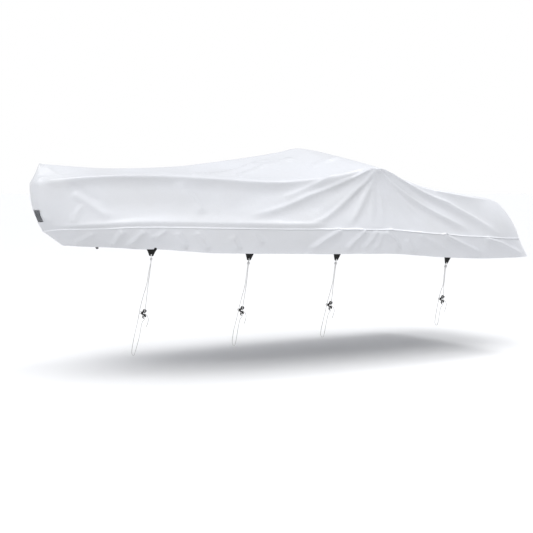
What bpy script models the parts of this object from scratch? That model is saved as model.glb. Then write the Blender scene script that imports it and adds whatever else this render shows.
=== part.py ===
"""Fitted boat cover: a hollow cloth shell with a skirt band, tie tabs, tie ropes and rope tensioners.

Metres, +Z up. X runs along the boat with the bow at -X, and the port side faces -Y. The origin is the
underside of the cloth at its highest point, on the centreline. The cloth has the shape in which it is
drawn over a cabin boat: bow rail, windscreen frame, canopy corners and stern.
"""

import math
from collections import namedtuple
from functools import lru_cache

import bmesh
import bpy
import numpy as np
from mathutils import Vector

PORT, STARBOARD = -1.0, 1.0  # the sign of Y on each side

# Cloth
CLOTH_THICK = 0.0025
CUT_GAP = 0.0003  # between pieces that meet
HEM, SEAM, RAIL, RIDGE = 0.0, 1.0, 2.0, 3.0  # the levels on the cover, from its lower edge up

# Half of the draped cover, bow to stern: x, half-breadth and z of the hem, of the seam above the skirt
# band and of the rail line (bow rail, canopy corner, coaming), then x and z of the centre ridge.
# side_sag and top_sag are how far the cloth hangs inside a straight line between those points.
Section = namedtuple("Section", "hem seam rail ridge side_sag top_sag")
SECTIONS = (
    Section(
        (-3.382, 0, -1.133), (-3.62, 0, -0.966),
        (-3.765, 0, -0.4), (-3.665, -0.173), -0.05, 0,
    ),
    Section(
        (-3.34, 0.065, -1.136), (-3.59, 0.07, -0.958),
        (-3.757, 0.07, -0.401), (-3.64, -0.176), -0.045, 0,
    ),
    Section(
        (-3.289, 0.141, -1.138), (-3.543, 0.148, -0.947),
        (-3.728, 0.132, -0.402), (-3.6, -0.181), -0.03, 0,
    ),
    Section(
        (-3.155, 0.288, -1.143), (-3.42, 0.288, -0.937),
        (-3.6, 0.255, -0.37), (-3.49, -0.19), -0.01, 0.01,
    ),
    Section(
        (-2.841, 0.559, -1.154), (-3.13, 0.548, -0.929),
        (-3.293, 0.458, -0.322), (-3.171, -0.216), 0.02, 0.02,
    ),
    Section(
        (-2.576, 0.723, -1.169), (-2.814, 0.757, -0.913),
        (-2.943, 0.608, -0.303), (-2.85, -0.235), 0.035, 0.03,
    ),
    Section(
        (-2.23, 0.888, -1.191), (-2.35, 0.955, -0.918),
        (-2.385, 0.771, -0.312), (-2.35, -0.238), 0.045, 0.03,
    ),
    Section(
        (-1.859, 1.016, -1.222), (-1.886, 1.084, -0.936),
        (-1.768, 0.872, -0.34), (-1.8, -0.216), 0.045, 0.03,
    ),
    Section(
        (-1.448, 1.091, -1.24), (-1.44, 1.15, -0.952),
        (-1.334, 0.916, -0.374), (-1.4, -0.18), 0.04, 0.03,
    ),
    Section(
        (-0.941, 1.145, -1.261), (-0.94, 1.185, -0.972),
        (-0.88, 0.937, -0.388), (-0.86, -0.121), 0.035, 0.025,
    ),
    Section(
        (-0.371, 1.176, -1.284), (-0.37, 1.21, -0.99),
        (-0.33, 0.925, -0.35), (-0.313, -0.043), 0.03, 0.015,
    ),
    Section(
        (0.05, 1.185, -1.297), (0.06, 1.216, -1.004),
        (0.09, 0.913, -0.3), (0, 0.0025), 0.025, -0.005,
    ),
    Section(
        (0.62, 1.19, -1.32), (0.6, 1.22, -1.027),
        (0.583, 0.9, -0.25), (0.5, -0.1), 0.02, -0.01,
    ),
    Section(
        (0.99, 1.19, -1.356), (0.97, 1.22, -1.066),
        (0.908, 0.912, -0.363), (0.93, -0.232), 0.02, 0.005,
    ),
    Section(
        (1.4, 1.183, -1.396), (1.346, 1.213, -1.103),
        (1.311, 0.92, -0.486), (1.34, -0.372), 0.015, 0.01,
    ),
    Section(
        (1.8, 1.174, -1.424), (1.77, 1.2, -1.14),
        (1.726, 0.92, -0.556), (1.74, -0.49), 0.01, 0.01,
    ),
    Section(
        (2.185, 1.165, -1.447), (2.162, 1.185, -1.17),
        (2.11, 0.915, -0.618), (2.09, -0.56), 0, 0.005,
    ),
    Section(
        (2.62, 1.138, -1.457), (2.52, 1.155, -1.2),
        (2.48, 0.885, -0.668), (2.41, -0.622), -0.04, 0,
    ),
    Section(
        (2.97, 1.11, -1.456), (2.83, 1.1, -1.215),
        (2.68, 0.83, -0.73), (2.53, -0.65), -0.04, 0,
    ),
    Section(
        (3.06, 0.95, -1.456), (2.93, 0.93, -1.218),
        (2.765, 0.68, -0.752), (2.6, -0.665), -0.045, 0,
    ),
    Section(
        (3.08, 0.5, -1.456), (2.96, 0.5, -1.218),
        (2.805, 0.4, -0.76), (2.65, -0.68), -0.04, 0,
    ),
    Section(
        (3.08, 0, -1.456), (2.96, 0, -1.218),
        (2.815, 0, -0.765), (2.68, -0.69), -0.04, 0,
    ),
)
RAIL_ROUND = 0.06  # the share of a level in which the cloth turns over the rail line
RIDGE_ROUND = 0.15  # how soft the centre ridge is, from 0 for a sharp one

# Folds, as ridges of cloth. path is the ridge's places as x along the boat and level, with smooth cloth
# between them; width is half of the ridge's own, at its first and last place.
Fold = namedtuple("Fold", "path from_width to_width height")
PORT_FOLDS = (
    # bow: slanting down from the bow rail, and by the roller's opening
    Fold(((-3.41, 1.75), (-3.03, 1.18)), 0.05, 0.06, 0.014),
    Fold(((-2.26, 1.9), (-2.04, 1.25)), 0.09, 0.12, 0.014),
    # over the gunwale's edge, just above the seam
    Fold(((-2.97, 1.08), (-2.25, 1.15), (-1.86, 1.15), (-0.78, 1.12)), 0.05, 0.05, 0.012),
    # on the top, from the foredeck to the windscreen frame
    Fold(((-1.45, 2.5), (-0.77, 2.72), (-0.11, 2.76)), 0.05, 0.06, 0.010),
    Fold(((-0.83, 2.33), (-0.06, 2.6)), 0.05, 0.05, 0.012),
    # fanning out from the canopy corner, bow to stern
    Fold(((-1.62, 1.25), (-0.75, 1.7), (-0.35, 1.88), (0.45, 2.03)), 0.11, 0.05, 0.030),
    Fold(((0.5, 1.97), (0.19, 1.78), (-0.05, 1.6), (-0.37, 1.38), (-0.73, 1.12)), 0.045, 0.085, 0.026),
    Fold(((0.53, 1.95), (0.26, 1.55), (0.04, 1.3), (-0.15, 1.07)), 0.045, 0.07, 0.020),
    Fold(((0.62, 1.93), (0.68, 1.78), (0.87, 1.4), (1.1, 1.1)), 0.05, 0.08, 0.010),
    Fold(((0.64, 1.96), (1.01, 1.78), (1.44, 1.48), (2.04, 1.08)), 0.045, 0.08, 0.026),
    Fold(((0.95, 1.98), (1.45, 1.85), (1.93, 1.55), (2.44, 1.05)), 0.05, 0.09, 0.016),
    # skirt band, under the fan
    Fold(((-0.2, 0.98), (-0.68, 0.05)), 0.05, 0.06, 0.008),
    Fold(((0.49, 0.95), (0.75, 0.1)), 0.05, 0.06, 0.007),
    Fold(((1.48, 0.98), (2.25, 0.15)), 0.06, 0.07, 0.012),
)
STARBOARD_FOLDS = (
    Fold(((-3.3, 1.8), (-2.85, 1.2)), 0.06, 0.08, 0.012),
    Fold(((-2.8, 1.1), (-1.9, 1.14), (-0.9, 1.12)), 0.05, 0.05, 0.010),
    Fold(((-1.4, 1.3), (-0.6, 1.75), (0.4, 2.02)), 0.11, 0.05, 0.026),
    Fold(((0.5, 1.97), (0.1, 1.6), (-0.6, 1.12)), 0.045, 0.085, 0.024),
    Fold(((0.55, 1.95), (0.3, 1.5), (0.1, 1.08)), 0.045, 0.07, 0.018),
    Fold(((0.64, 1.96), (1.1, 1.7), (1.9, 1.1)), 0.045, 0.08, 0.024),
    Fold(((1.0, 1.97), (1.6, 1.75), (2.4, 1.08)), 0.05, 0.09, 0.016),
    Fold(((1.5, 0.95), (2.1, 0.15)), 0.06, 0.07, 0.010),
)
FOLD_STEP = 0.15  # between the points that a fold's path is read at, at most
FOLD_RISE, FOLD_FADE = 0.12, 0.2  # the shares of a path in which a fold rises and fades

# Grid of the cloth: the lengths between stations along the seam and the rows of levels
FINE_STEP, COARSE_STEP = 0.115, 0.165
FINE_FROM, FINE_TO = -1.9, 2.3  # x
BAND_ROWS = (0, 0.5, 1)
COVER_ROWS = (1, 1.1, 1.2, 1.33, 1.46, 1.6, 1.74, 1.88, 1.965, 2.035, 2.15, 2.35, 2.6, 2.84, 3)

# Opening in the nose for the boat's bow roller
ROLLER_STATION = 1  # out to this section on both sides
ROLLER_LEVELS = (1.2, 1.46)

# Tie tabs
TAB_TOP, TAB_WIDE, TAB_NARROW = 0.100, 0.108, 0.046  # widths: at its sewn edge, at the hem, at its end
TAB_SEWN, TAB_LONG, TAB_THICK = 0.024, 0.082, 0.003
TAB_GAP = 0.0012  # to the cloth that it is sewn behind
TAB_HOLE_AT, TAB_HOLE_RADIUS = 0.068, 0.0065
TAB_HOLE_SIDES = 12

# Tie ropes
ROPE_DIAMETER = 0.008
ROPE_STEP = 0.025
ROPE_MAX_POINTS = 80
BEND_PER_POINT = math.radians(34)
STRANDS_APART = 0.014  # along the boat, where the two strands of a tie run side by side
BIGHT_RADIUS = 0.014  # of the rope's turn through a tab's hole
KNOT_BELOW_HOLE, KNOT_RADIUS = 0.052, 0.004
KNOT_SLACK = 0.0009
KNOT_SIDES, KNOT_STEPS = 6, 7  # steps round each strand

# Each tie: x of its tab, then y and z of the places where its two strands part, of the tensioner's ring,
# and of the long strand's way down, round under the trailer's rail and up again. Port side.
Tie = namedtuple("Tie", "x parts ring down turn up")
TIES = (
    Tie(
        -2.59, (-0.621, -1.549), (-0.523, -1.903),
        ((-0.462, -1.833), (-0.367, -2.062), (-0.274, -2.265)),
        ((-0.207, -2.425), (-0.213, -2.45), (-0.238, -2.466), (-0.266, -2.456), (-0.284, -2.43)),
        ((-0.397, -2.229),),
    ),
    Tie(
        -1.475, (-0.999, -1.594), (-0.91, -1.9),
        ((-0.878, -1.86), (-0.8, -2.045), (-0.736, -2.19)),
        ((-0.69, -2.33), (-0.694, -2.358), (-0.716, -2.378), (-0.744, -2.372), (-0.762, -2.346)),
        (),
    ),
    Tie(
        -0.26, (-1.089, -1.65), (-1.035, -1.9),
        ((-0.985, -1.89), (-0.93, -2.04), (-0.867, -2.204)),
        ((-0.832, -2.3), (-0.836, -2.328), (-0.858, -2.347), (-0.886, -2.34), (-0.902, -2.314)),
        (),
    ),
    Tie(
        1.51, (-1.101, -1.763), (-1.082, -1.925),
        ((-1.059, -1.85), (-1.015, -1.971), (-0.955, -2.204)),
        ((-0.938, -2.268), (-0.942, -2.292), (-0.962, -2.307), (-0.985, -2.3), (-0.998, -2.275)),
        (),
    ),
)

# Rope tensioner: a flat plastic cleat. Its outline and the ropes' ways past it are given across, down
# from the centre of its ring and outward, in metres.
CLEAT_THICK = 0.008
RING_RADIUS, EYE_RADIUS = 0.023, 0.010
RING_FROM, RING_TO, RING_STEPS = 152, 475, 14  # degrees of its arc, from across towards down
EYE_SIDES = 12
CLEAT_BODY = (
    (-0.014, 0.030), (-0.008, 0.040), (0.020, 0.042), (0.034, 0.070), (0.014, 0.082),
    (0.001, 0.076), (0.001, 0.084), (0.012, 0.098), (0.003, 0.106), (-0.014, 0.086),
    (-0.013, 0.066), (-0.042, 0.038), (-0.031, 0.016),
)
LONG_ROPE_PAST_CLEAT = (
    (0.000, 0.138, 0.009), (0.014, 0.110, 0.010), (0.020, 0.086, 0.011), (0.010, 0.068, 0.012),
    (-0.010, 0.055, 0.013), (-0.030, 0.045, 0.014), (-0.048, 0.038, 0.011), (-0.058, 0.032, 0.000),
    (-0.050, 0.027, -0.011), (-0.033, 0.024, -0.015), (-0.016, 0.026, -0.012), (0.000, 0.030, -0.005),
    (0.012, 0.033, 0.005), (0.026, 0.038, 0.011), (0.042, 0.052, 0.011), (0.056, 0.075, 0.007),
    (0.064, 0.105, 0.002), (0.063, 0.150, -0.002), (0.058, 0.198, -0.004),
)
SHORT_ROPE_TO_EYE = (
    (0.000, -0.060, 0.0115), (0.000, -0.030, 0.0120), (0.000, -0.014, 0.0120), (0.000, -0.007, 0.0101),
    (0.000, -0.0019, 0.0050), (0.000, 0.000, -0.0020), (0.000, 0.000, -0.0100), (0.000, 0.000, -0.0180),
)
CLEAT_FACES = Vector((0.834, -0.552, 0))  # the way across it; it hangs facing outboard and forward

CLOTH_COLOUR = (0.76, 0.775, 0.80, 1)
BLACK_COLOUR = (0.012, 0.012, 0.013, 1)
ROPE_COLOUR = (0.82, 0.82, 0.80, 1)


def section_rows():
    """The sections as rows of numbers, with a mirrored row past each end for the slope there."""
    rows = np.array(
        [[*s.hem, *s.seam, *s.rail, s.ridge[0], 0, s.ridge[1], s.side_sag, s.top_sag] for s in SECTIONS]
    )
    mirror = np.ones(rows.shape[1])
    mirror[[1, 4, 7]] = -1.0  # half-breadths change sign across the centreline
    return np.vstack([rows[1] * mirror, rows, rows[-2] * mirror])


def section_curves(stations):
    """The section rows at stations, which count sections from the bow, on smooth curves between them."""
    rows = section_rows()
    seam_steps = np.linalg.norm(np.diff(rows[:, 3:6], axis=0), axis=1)
    rail_steps = np.linalg.norm(np.diff(rows[:, 6:9], axis=0), axis=1)
    at = np.concatenate([[0.0], np.cumsum(seam_steps + rail_steps)])
    slope = (rows[2:] - rows[:-2]) / (at[2:] - at[:-2])[:, None]
    at, rows = at[1:-1], rows[1:-1]
    wanted = np.interp(stations, np.arange(len(SECTIONS)), at)
    k = np.clip(np.searchsorted(at, wanted, side="right") - 1, 0, len(at) - 2)
    gap = (at[k + 1] - at[k])[:, None]
    t = (wanted - at[k])[:, None] / gap
    return (
        (2 * t**3 - 3 * t**2 + 1) * rows[k]
        + (t**3 - 2 * t**2 + t) * gap * slope[k]
        + (3 * t**2 - 2 * t**3) * rows[k + 1]
        + (t**3 - t**2) * gap * slope[k + 1]
    )


def sagging(start, end, along, share, weight, sag):
    """Points at share of the way from start to end, weight for x and z, hanging in by sag halfway."""
    line = end - start
    points = start + line * np.stack([weight, share, weight], axis=-1)
    inward = np.cross(along, line)
    inward /= np.linalg.norm(inward, axis=-1, keepdims=True)
    return points + inward * (sag * 4 * share * (1 - share))[..., None]


def bare_surface(stations, levels):
    """Points of the smooth cover, without folds, for arrays of stations and levels; +Y is outward."""
    stations, levels = np.broadcast_arrays(np.asarray(stations, float), np.asarray(levels, float))
    rows = section_curves(stations.ravel()).reshape(*stations.shape, -1)
    ahead = section_curves(np.minimum(stations.ravel() + 0.01, len(SECTIONS) - 1)).reshape(rows.shape)
    behind = section_curves(np.maximum(stations.ravel() - 0.01, 0)).reshape(rows.shape)
    along = (ahead - behind)[..., 3:6] + (ahead - behind)[..., 6:9]
    hem, seam, rail, ridge = (rows[..., i : i + 3] for i in (0, 3, 6, 9))
    side_sag, top_sag = rows[..., 12], rows[..., 13]

    def at(level):
        band = np.clip(level, HEM, SEAM)[..., None]
        side = np.clip(level - SEAM, 0, 1)
        top = np.clip(level - RAIL, 0, 1)
        crest = (np.sqrt((1 - top) ** 2 + RIDGE_ROUND**2) - RIDGE_ROUND) / (
            math.sqrt(1 + RIDGE_ROUND**2) - RIDGE_ROUND
        )
        points = hem + (seam - hem) * band
        on_side = sagging(seam, rail, along, side, side, side_sag)
        on_top = sagging(rail, ridge, along, top, 1 - crest, top_sag)
        points = np.where((level > SEAM)[..., None], on_side, points)
        return np.where((level > RAIL)[..., None], on_top, points)

    turn = np.clip((levels - RAIL + RAIL_ROUND) / (2 * RAIL_ROUND), 0, 1)[..., None]
    turned = (
        (1 - turn) ** 2 * at(np.full_like(levels, RAIL - RAIL_ROUND))
        + 2 * turn * (1 - turn) * at(np.full_like(levels, RAIL))
        + turn**2 * at(np.full_like(levels, RAIL + RAIL_ROUND))
    )
    return np.where((np.abs(levels - RAIL) < RAIL_ROUND)[..., None], turned, at(levels))


def station_of(x, level):
    """The station at which the smooth cover has this x on this level."""
    stations = np.linspace(0, len(SECTIONS) - 1, 40 * len(SECTIONS))
    xs = np.maximum.accumulate(bare_surface(stations, level)[:, 0])
    return float(np.interp(x, xs, stations))


@lru_cache(maxsize=None)
def fold_path(fold):
    """Points along a fold on the smooth cover, and the share of its length at each."""
    stations, levels = [], []
    for (x0, level0), (x1, level1) in zip(fold.path, fold.path[1:]):
        count = max(2, math.ceil(math.hypot(x1 - x0, (level1 - level0) * 0.6) / FOLD_STEP) + 1)
        share = np.linspace(0, 1, count)
        xs, row = x0 + (x1 - x0) * share, level0 + (level1 - level0) * share
        stations += [station_of(x, level) for x, level in zip(xs, row)]
        levels += list(row)
    points = bare_surface(np.array(stations), np.array(levels))
    along = np.concatenate([[0], np.cumsum(np.linalg.norm(np.diff(points, axis=0), axis=1))])
    return points, along / along[-1]


def eased(x):
    x = np.clip(x, 0, 1)
    return x * x * (3 - 2 * x)


def fold_heights(points, folds):
    """How far the folds raise the cloth at these points: a ridge with a shallow trough on each side."""
    raised = np.zeros(points.shape[:-1])
    for fold in folds:
        path, shares = fold_path(fold)
        nearest, share = np.full(raised.shape, np.inf), np.zeros(raised.shape)
        for a, b, at_a, at_b in zip(path, path[1:], shares, shares[1:]):
            if at_b > at_a:
                t = np.clip(((points - a) @ (b - a)) / ((b - a) @ (b - a)), 0, 1)
                away = np.linalg.norm(points - a - t[..., None] * (b - a), axis=-1)
                share = np.where(away < nearest, at_a + t * (at_b - at_a), share)
                nearest = np.minimum(away, nearest)
        q = nearest / (fold.from_width + (fold.to_width - fold.from_width) * share)
        fade = eased(share / FOLD_RISE) * eased((1 - share) / FOLD_FADE)
        raised += fold.height * fade * (1 - q * q) * np.exp(-q * q / 2)
    return raised


def cover_surface(stations, levels, folds):
    """Points of the folded cover for arrays of stations and levels; +Y is outward."""
    step = 0.004
    points = bare_surface(stations, levels)
    last = len(SECTIONS) - 1
    along = bare_surface(np.minimum(stations + step, last), levels) - bare_surface(
        np.maximum(stations - step, 0), levels
    )
    up = bare_surface(stations, np.minimum(levels + step, RIDGE)) - bare_surface(
        stations, np.maximum(levels - step, HEM)
    )
    outward = np.cross(up, along)
    outward /= np.maximum(np.linalg.norm(outward, axis=-1, keepdims=True), 1e-9)
    on_centreline = ((stations < step) | (stations > last - step))[..., None] * np.ones(3)
    outward = np.where(on_centreline > 0, outward * (1, 0, 1), outward)
    outward = np.where((levels > RIDGE - step)[..., None], outward * (1, 0, 1), outward)
    return points + outward * fold_heights(points, folds)[..., None]


def grid_stations():
    """Stations close together in the fan of folds and further apart elsewhere."""
    stations = [0.0]
    for k, (a, b) in enumerate(zip(SECTIONS, SECTIONS[1:])):
        fine = FINE_FROM <= a.seam[0] and b.seam[0] <= FINE_TO
        gap = math.dist(a.seam, b.seam)
        count = max(1, round(gap / (FINE_STEP if fine else COARSE_STEP)))
        stations += [k + (i + 1) / count for i in range(count)]
    return np.array(stations)


def material(name, colour, roughness, metallic=0.0):
    made = bpy.data.materials.new(name)
    made.use_nodes = True
    shader = made.node_tree.nodes["Principled BSDF"]
    shader.inputs["Base Color"].default_value = colour
    shader.inputs["Roughness"].default_value = roughness
    shader.inputs["Metallic"].default_value = metallic
    made.diffuse_color = colour
    return made


def add_object(name, mesh, finish):
    piece = bpy.data.objects.new(name, mesh)
    bpy.context.scene.collection.objects.link(piece)
    mesh.materials.append(finish)
    return piece


class Cloth:
    """The cover's grid of outer and inner points, from which its sheets are cut."""

    def __init__(self):
        self.rows = (*BAND_ROWS, *COVER_ROWS[1:])
        self.stations = grid_stations()
        stations, levels = np.meshgrid(self.stations, np.array(self.rows, float), indexing="ij")
        sides = {
            PORT: cover_surface(stations, levels, PORT_FOLDS),
            STARBOARD: cover_surface(stations, levels, STARBOARD_FOLDS),
        }
        self.last_station, self.last_row = len(self.stations) - 1, len(self.rows) - 1
        self.number, self.outer = {}, []
        for side, points in sides.items():
            for i in range(self.last_station + 1):
                for j in range(self.last_row + 1):
                    key = self.key(side, i, j)
                    if key not in self.number:
                        x, y, z = points[i, j]
                        self.number[key] = len(self.outer)
                        self.outer.append(Vector((x, side * y if key[0] else 0.0, z)))
        self.inner = self.offset_inward()

    def key(self, side, i, j):
        """The two sides share their points on the centreline."""
        shared = i in (0, self.last_station) or j == self.last_row
        return (0 if shared else side, i, j)

    def quads(self, side, first_row, last_row):
        """One side's outer faces between two rows, as keys, in an order that faces them outward."""
        for i in range(self.last_station):
            for j in range(first_row, last_row):
                around = ((i, j), (i + 1, j), (i + 1, j + 1), (i, j + 1))
                quad = [self.key(side, *at) for at in around]
                yield i, j, quad if side == PORT else quad[::-1]

    def halves(self, quad):
        """A quad's two triangles, cut along its shorter diagonal."""
        a, b, c, d = (self.outer[self.number[key]] for key in quad)
        if (a - c).length <= (b - d).length:
            return (quad[0], quad[1], quad[2]), (quad[0], quad[2], quad[3])
        return (quad[0], quad[1], quad[3]), (quad[1], quad[2], quad[3])

    def offset_inward(self):
        """The inner points, a cloth's thickness inside the outer ones along their own normals."""
        mesh = bpy.data.meshes.new("guide")
        faces = [
            [self.number[key] for key in triangle]
            for side in (PORT, STARBOARD)
            for _, _, quad in self.quads(side, 0, self.last_row)
            for triangle in self.halves(quad)
        ]
        mesh.from_pydata([tuple(p) for p in self.outer], [], faces)
        normals = [v.normal.copy() for v in mesh.vertices]
        bpy.data.meshes.remove(mesh)
        return [p - n * CLOTH_THICK for p, n in zip(self.outer, normals)]

    def sheet(
        self, name, side, first_row, last_row, finish, is_cut_out=lambda i, j: False, lowered_row=None
    ):
        """One side's piece of cloth between two rows. It stops short of the centreline, and at
        lowered_row of the piece above it, by a gap that leaves CUT_GAP between the two."""
        faces = [quad for i, j, quad in self.quads(side, first_row, last_row) if not is_cut_out(i, j)]
        used = sorted({key for quad in faces for key in quad}, key=lambda key: self.number[key])
        index = {key: n for n, key in enumerate(used)}

        def place(points, key):
            at = points[self.number[key]]
            if key[2] == lowered_row:
                below = points[self.number[(key[0], key[1], key[2] - 1)]]
                at = at + (below - at).normalized() * CUT_GAP
            return (at.x, at.y if key[0] else side * CUT_GAP / 2, at.z)

        corners = [place(self.outer, key) for key in used] + [place(self.inner, key) for key in used]
        count = len(used)
        outside = [[index[key] for key in triangle] for quad in faces for triangle in self.halves(quad)]
        inside = [[n + count for n in face[::-1]] for face in outside]
        edges = {(a, b) for face in outside for a, b in zip(face, face[1:] + face[:1])}
        rims = [[b, a, a + count, b + count] for a, b in sorted(edges) if (b, a) not in edges]
        mesh = bpy.data.meshes.new(name)
        mesh.from_pydata(corners, [], outside + inside + rims)
        mesh.shade_smooth()
        mesh.set_sharp_from_angle(angle=math.radians(50))
        return add_object(name, mesh, finish)


def cover_point(x, level, side):
    """A point of the folded cover in the part's own axes."""
    folds = PORT_FOLDS if side == PORT else STARBOARD_FOLDS
    point = cover_surface(np.array([station_of(x, level)]), np.array([float(level)]), folds)[0]
    return Vector((point[0], side * point[1], point[2]))


class TabPlace:
    """Where a tab hangs: along the hem, down the band above the hem, and down the tab below it."""

    def __init__(self, x, side, pulled_to):
        self.x, self.side = x, side
        self.along = (cover_point(x + 0.03, HEM, side) - cover_point(x - 0.03, HEM, side)).normalized()
        band = cover_point(x, HEM, side) - cover_point(x, 0.12, side)
        self.band_down, self.band_out = self.axes(band)
        self.sewn_level = 0.12 * TAB_SEWN / band.length
        self.hem = self.behind(0, HEM)
        pull = Vector((x, side * abs(pulled_to[0]), pulled_to[1])) - self.hem
        self.down, self.out = self.axes(pull)
        self.hole = self.hem + self.down * TAB_HOLE_AT

    def axes(self, down):
        down = (down - self.along * down.dot(self.along)).normalized()
        out = self.along.cross(down).normalized()
        return down, out if out.y * self.side > 0 else -out

    def behind(self, aside, level):
        """The middle of the webbing's thickness, behind the cloth."""
        x = self.x + aside - (self.band_down.x * TAB_SEWN if level > HEM else 0)
        return cover_point(x, level, self.side) - self.band_out * (CLOTH_THICK + TAB_GAP + TAB_THICK / 2)


def make_tab(name, place, finish):
    """A trapezoid of webbing, sewn behind the hem at its wide edge, with a hole at its narrow end."""
    bent = (place.band_out + place.out).normalized()
    rows = [
        ([place.behind(share * width / 2, level) for share in (-1, 0, 1)], out)
        for width, level, out in ((TAB_TOP, place.sewn_level, place.band_out), (TAB_WIDE, HEM, bent))
    ]
    for width, at in ((TAB_NARROW + 0.010, TAB_LONG - 0.008), (TAB_NARROW - 0.006, TAB_LONG)):
        middle = place.hem + place.down * at
        rows.append(([middle + place.along * (share * width / 2) for share in (-1, 0, 1)], place.out))
    mesh = bmesh.new()
    front, back = (
        [[mesh.verts.new(at + out * (sign * TAB_THICK / 2)) for at in row] for row, out in rows]
        for sign in (1, -1)
    )
    for i in range(len(rows) - 1):
        for k in range(2):
            mesh.faces.new((front[i][k], front[i][k + 1], front[i + 1][k + 1], front[i + 1][k]))
            mesh.faces.new((back[i][k + 1], back[i][k], back[i + 1][k], back[i + 1][k + 1]))
        mesh.faces.new((front[i][2], back[i][2], back[i + 1][2], front[i + 1][2]))
        mesh.faces.new((back[i][0], front[i][0], front[i + 1][0], back[i + 1][0]))
    for k in range(2):
        mesh.faces.new((front[0][k + 1], front[0][k], back[0][k], back[0][k + 1]))
        mesh.faces.new((front[-1][k], front[-1][k + 1], back[-1][k + 1], back[-1][k]))
    tab = add_object(name, closed_mesh(name, mesh), finish)
    punch_hole(tab, place.hole, place.out, TAB_HOLE_RADIUS, 4 * TAB_THICK, TAB_HOLE_SIDES)


def closed_mesh(name, mesh):
    bmesh.ops.recalc_face_normals(mesh, faces=mesh.faces)
    data = bpy.data.meshes.new(name)
    mesh.to_mesh(data)
    mesh.free()
    return data


def punch_hole(piece, centre, axis, radius, depth, sides):
    bpy.ops.mesh.primitive_cylinder_add(vertices=sides, radius=radius, depth=depth, location=centre)
    punch = bpy.context.object
    punch.name = "guide_" + piece.name
    punch.rotation_mode = "QUATERNION"
    punch.rotation_quaternion = axis.to_track_quat("Z", "X")
    punch.hide_render = True
    punch.display_type = "WIRE"
    cut = piece.modifiers.new("hole", "BOOLEAN")
    cut.operation = "DIFFERENCE"
    cut.solver = "EXACT"
    cut.object = punch


def smooth_route(places):
    """Points along a smooth curve through places, closer together in its bends; the first step is kept."""
    p = [*places, 2 * places[-1] - places[-2]]
    fine = []
    for k in range(1, len(p) - 2):
        before, here, after = (max(1e-6, (p[k + i] - p[k + i - 1]).length ** 0.5) for i in range(3))
        one, two, three = (p[k + i] - p[k + i - 1] for i in range(3))
        slope0 = one / before - (one + two) / (before + here) + two / here
        slope1 = two / here - (two + three) / (here + after) + three / after
        for i in range(20):
            t = i / 20
            fine.append(
                (2 * t**3 - 3 * t**2 + 1) * p[k]
                + (t**3 - 2 * t**2 + t) * here * slope0
                + (3 * t**2 - 2 * t**3) * p[k + 1]
                + (t**3 - t**2) * here * slope1
            )
    fine.append(p[-2])
    steps = np.array([(b - a).length for a, b in zip(fine, fine[1:])])
    turn = np.array([0, *[(b - a).angle(c - b, 0.0) for a, b, c in zip(fine, fine[1:], fine[2:])], 0])
    at = np.concatenate([[0], np.cumsum(steps)])
    bends = (turn[1:] + turn[:-1]) / 2
    spent = np.concatenate([[0], np.cumsum(steps / ROPE_STEP + bends / BEND_PER_POINT)])
    count = min(ROPE_MAX_POINTS - 1, math.ceil(spent[-1]) + 1)
    wanted = np.interp(np.linspace(0, spent[-1], count), spent, at)
    route = np.stack([np.interp(wanted, at, [f[axis] for f in fine]) for axis in range(3)], axis=-1)
    return [places[0], *[Vector(point) for point in route]]


def make_rope(name, points, finish):
    data = bpy.data.curves.new(name, "CURVE")
    data.dimensions = "3D"
    data.bevel_depth = ROPE_DIAMETER / 2
    data.bevel_resolution = 2
    data.use_fill_caps = True
    spline = data.splines.new("POLY")
    spline.points.add(len(points) - 1)
    for at, point in zip(spline.points, points):
        at.co = (*point, 1)
    piece = bpy.data.objects.new(name, data)
    bpy.context.scene.collection.objects.link(piece)
    data.materials.append(finish)
    return piece


def bight(place, sign):
    """A strand's first places: half of the turn through the tab's hole, then down to the knot."""
    places = [place.hole + place.out * (sign * CUT_GAP / 2), place.hole + place.out * (sign * 0.002)]
    for degrees in (30, 60, 90):
        angle = math.radians(degrees)
        places.append(
            place.hole
            + place.down * (BIGHT_RADIUS * (1 - math.cos(angle)))
            + place.out * (sign * (0.001 + BIGHT_RADIUS * math.sin(angle)))
        )
    for below, apart in ((-0.014, 1.3), (0, 1), (0.03, 1)):
        places.append(
            place.hole
            + place.down * (KNOT_BELOW_HOLE + below)
            + place.out * (sign * apart * STRANDS_APART / 2)
        )
    return places


def make_knot(name, place, finish):
    """A turn of the rope round both strands: a round section swept round their two centres."""
    centre = place.hole + place.down * KNOT_BELOW_HOLE
    reach = ROPE_DIAMETER / 2 + KNOT_SLACK + KNOT_RADIUS
    mesh = bmesh.new()
    rings = []
    for sign in (1, -1):
        for i in range(KNOT_STEPS):
            angle = math.pi * (i / (KNOT_STEPS - 1) - 0.5)
            away = (place.out * math.cos(angle) + place.along * math.sin(angle)) * sign
            middle = centre + place.out * (sign * STRANDS_APART / 2) + away * reach
            ring = []
            for k in range(KNOT_SIDES):
                turn = 2 * math.pi * k / KNOT_SIDES
                spoke = away * math.cos(turn) + place.down * math.sin(turn)
                ring.append(mesh.verts.new(middle + spoke * KNOT_RADIUS))
            rings.append(ring)
    for ring, following in zip(rings, rings[1:] + rings[:1]):
        for k in range(KNOT_SIDES):
            n = (k + 1) % KNOT_SIDES
            mesh.faces.new((ring[k], ring[n], following[n], following[k]))
    add_object(name, closed_mesh(name, mesh), finish)


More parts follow.
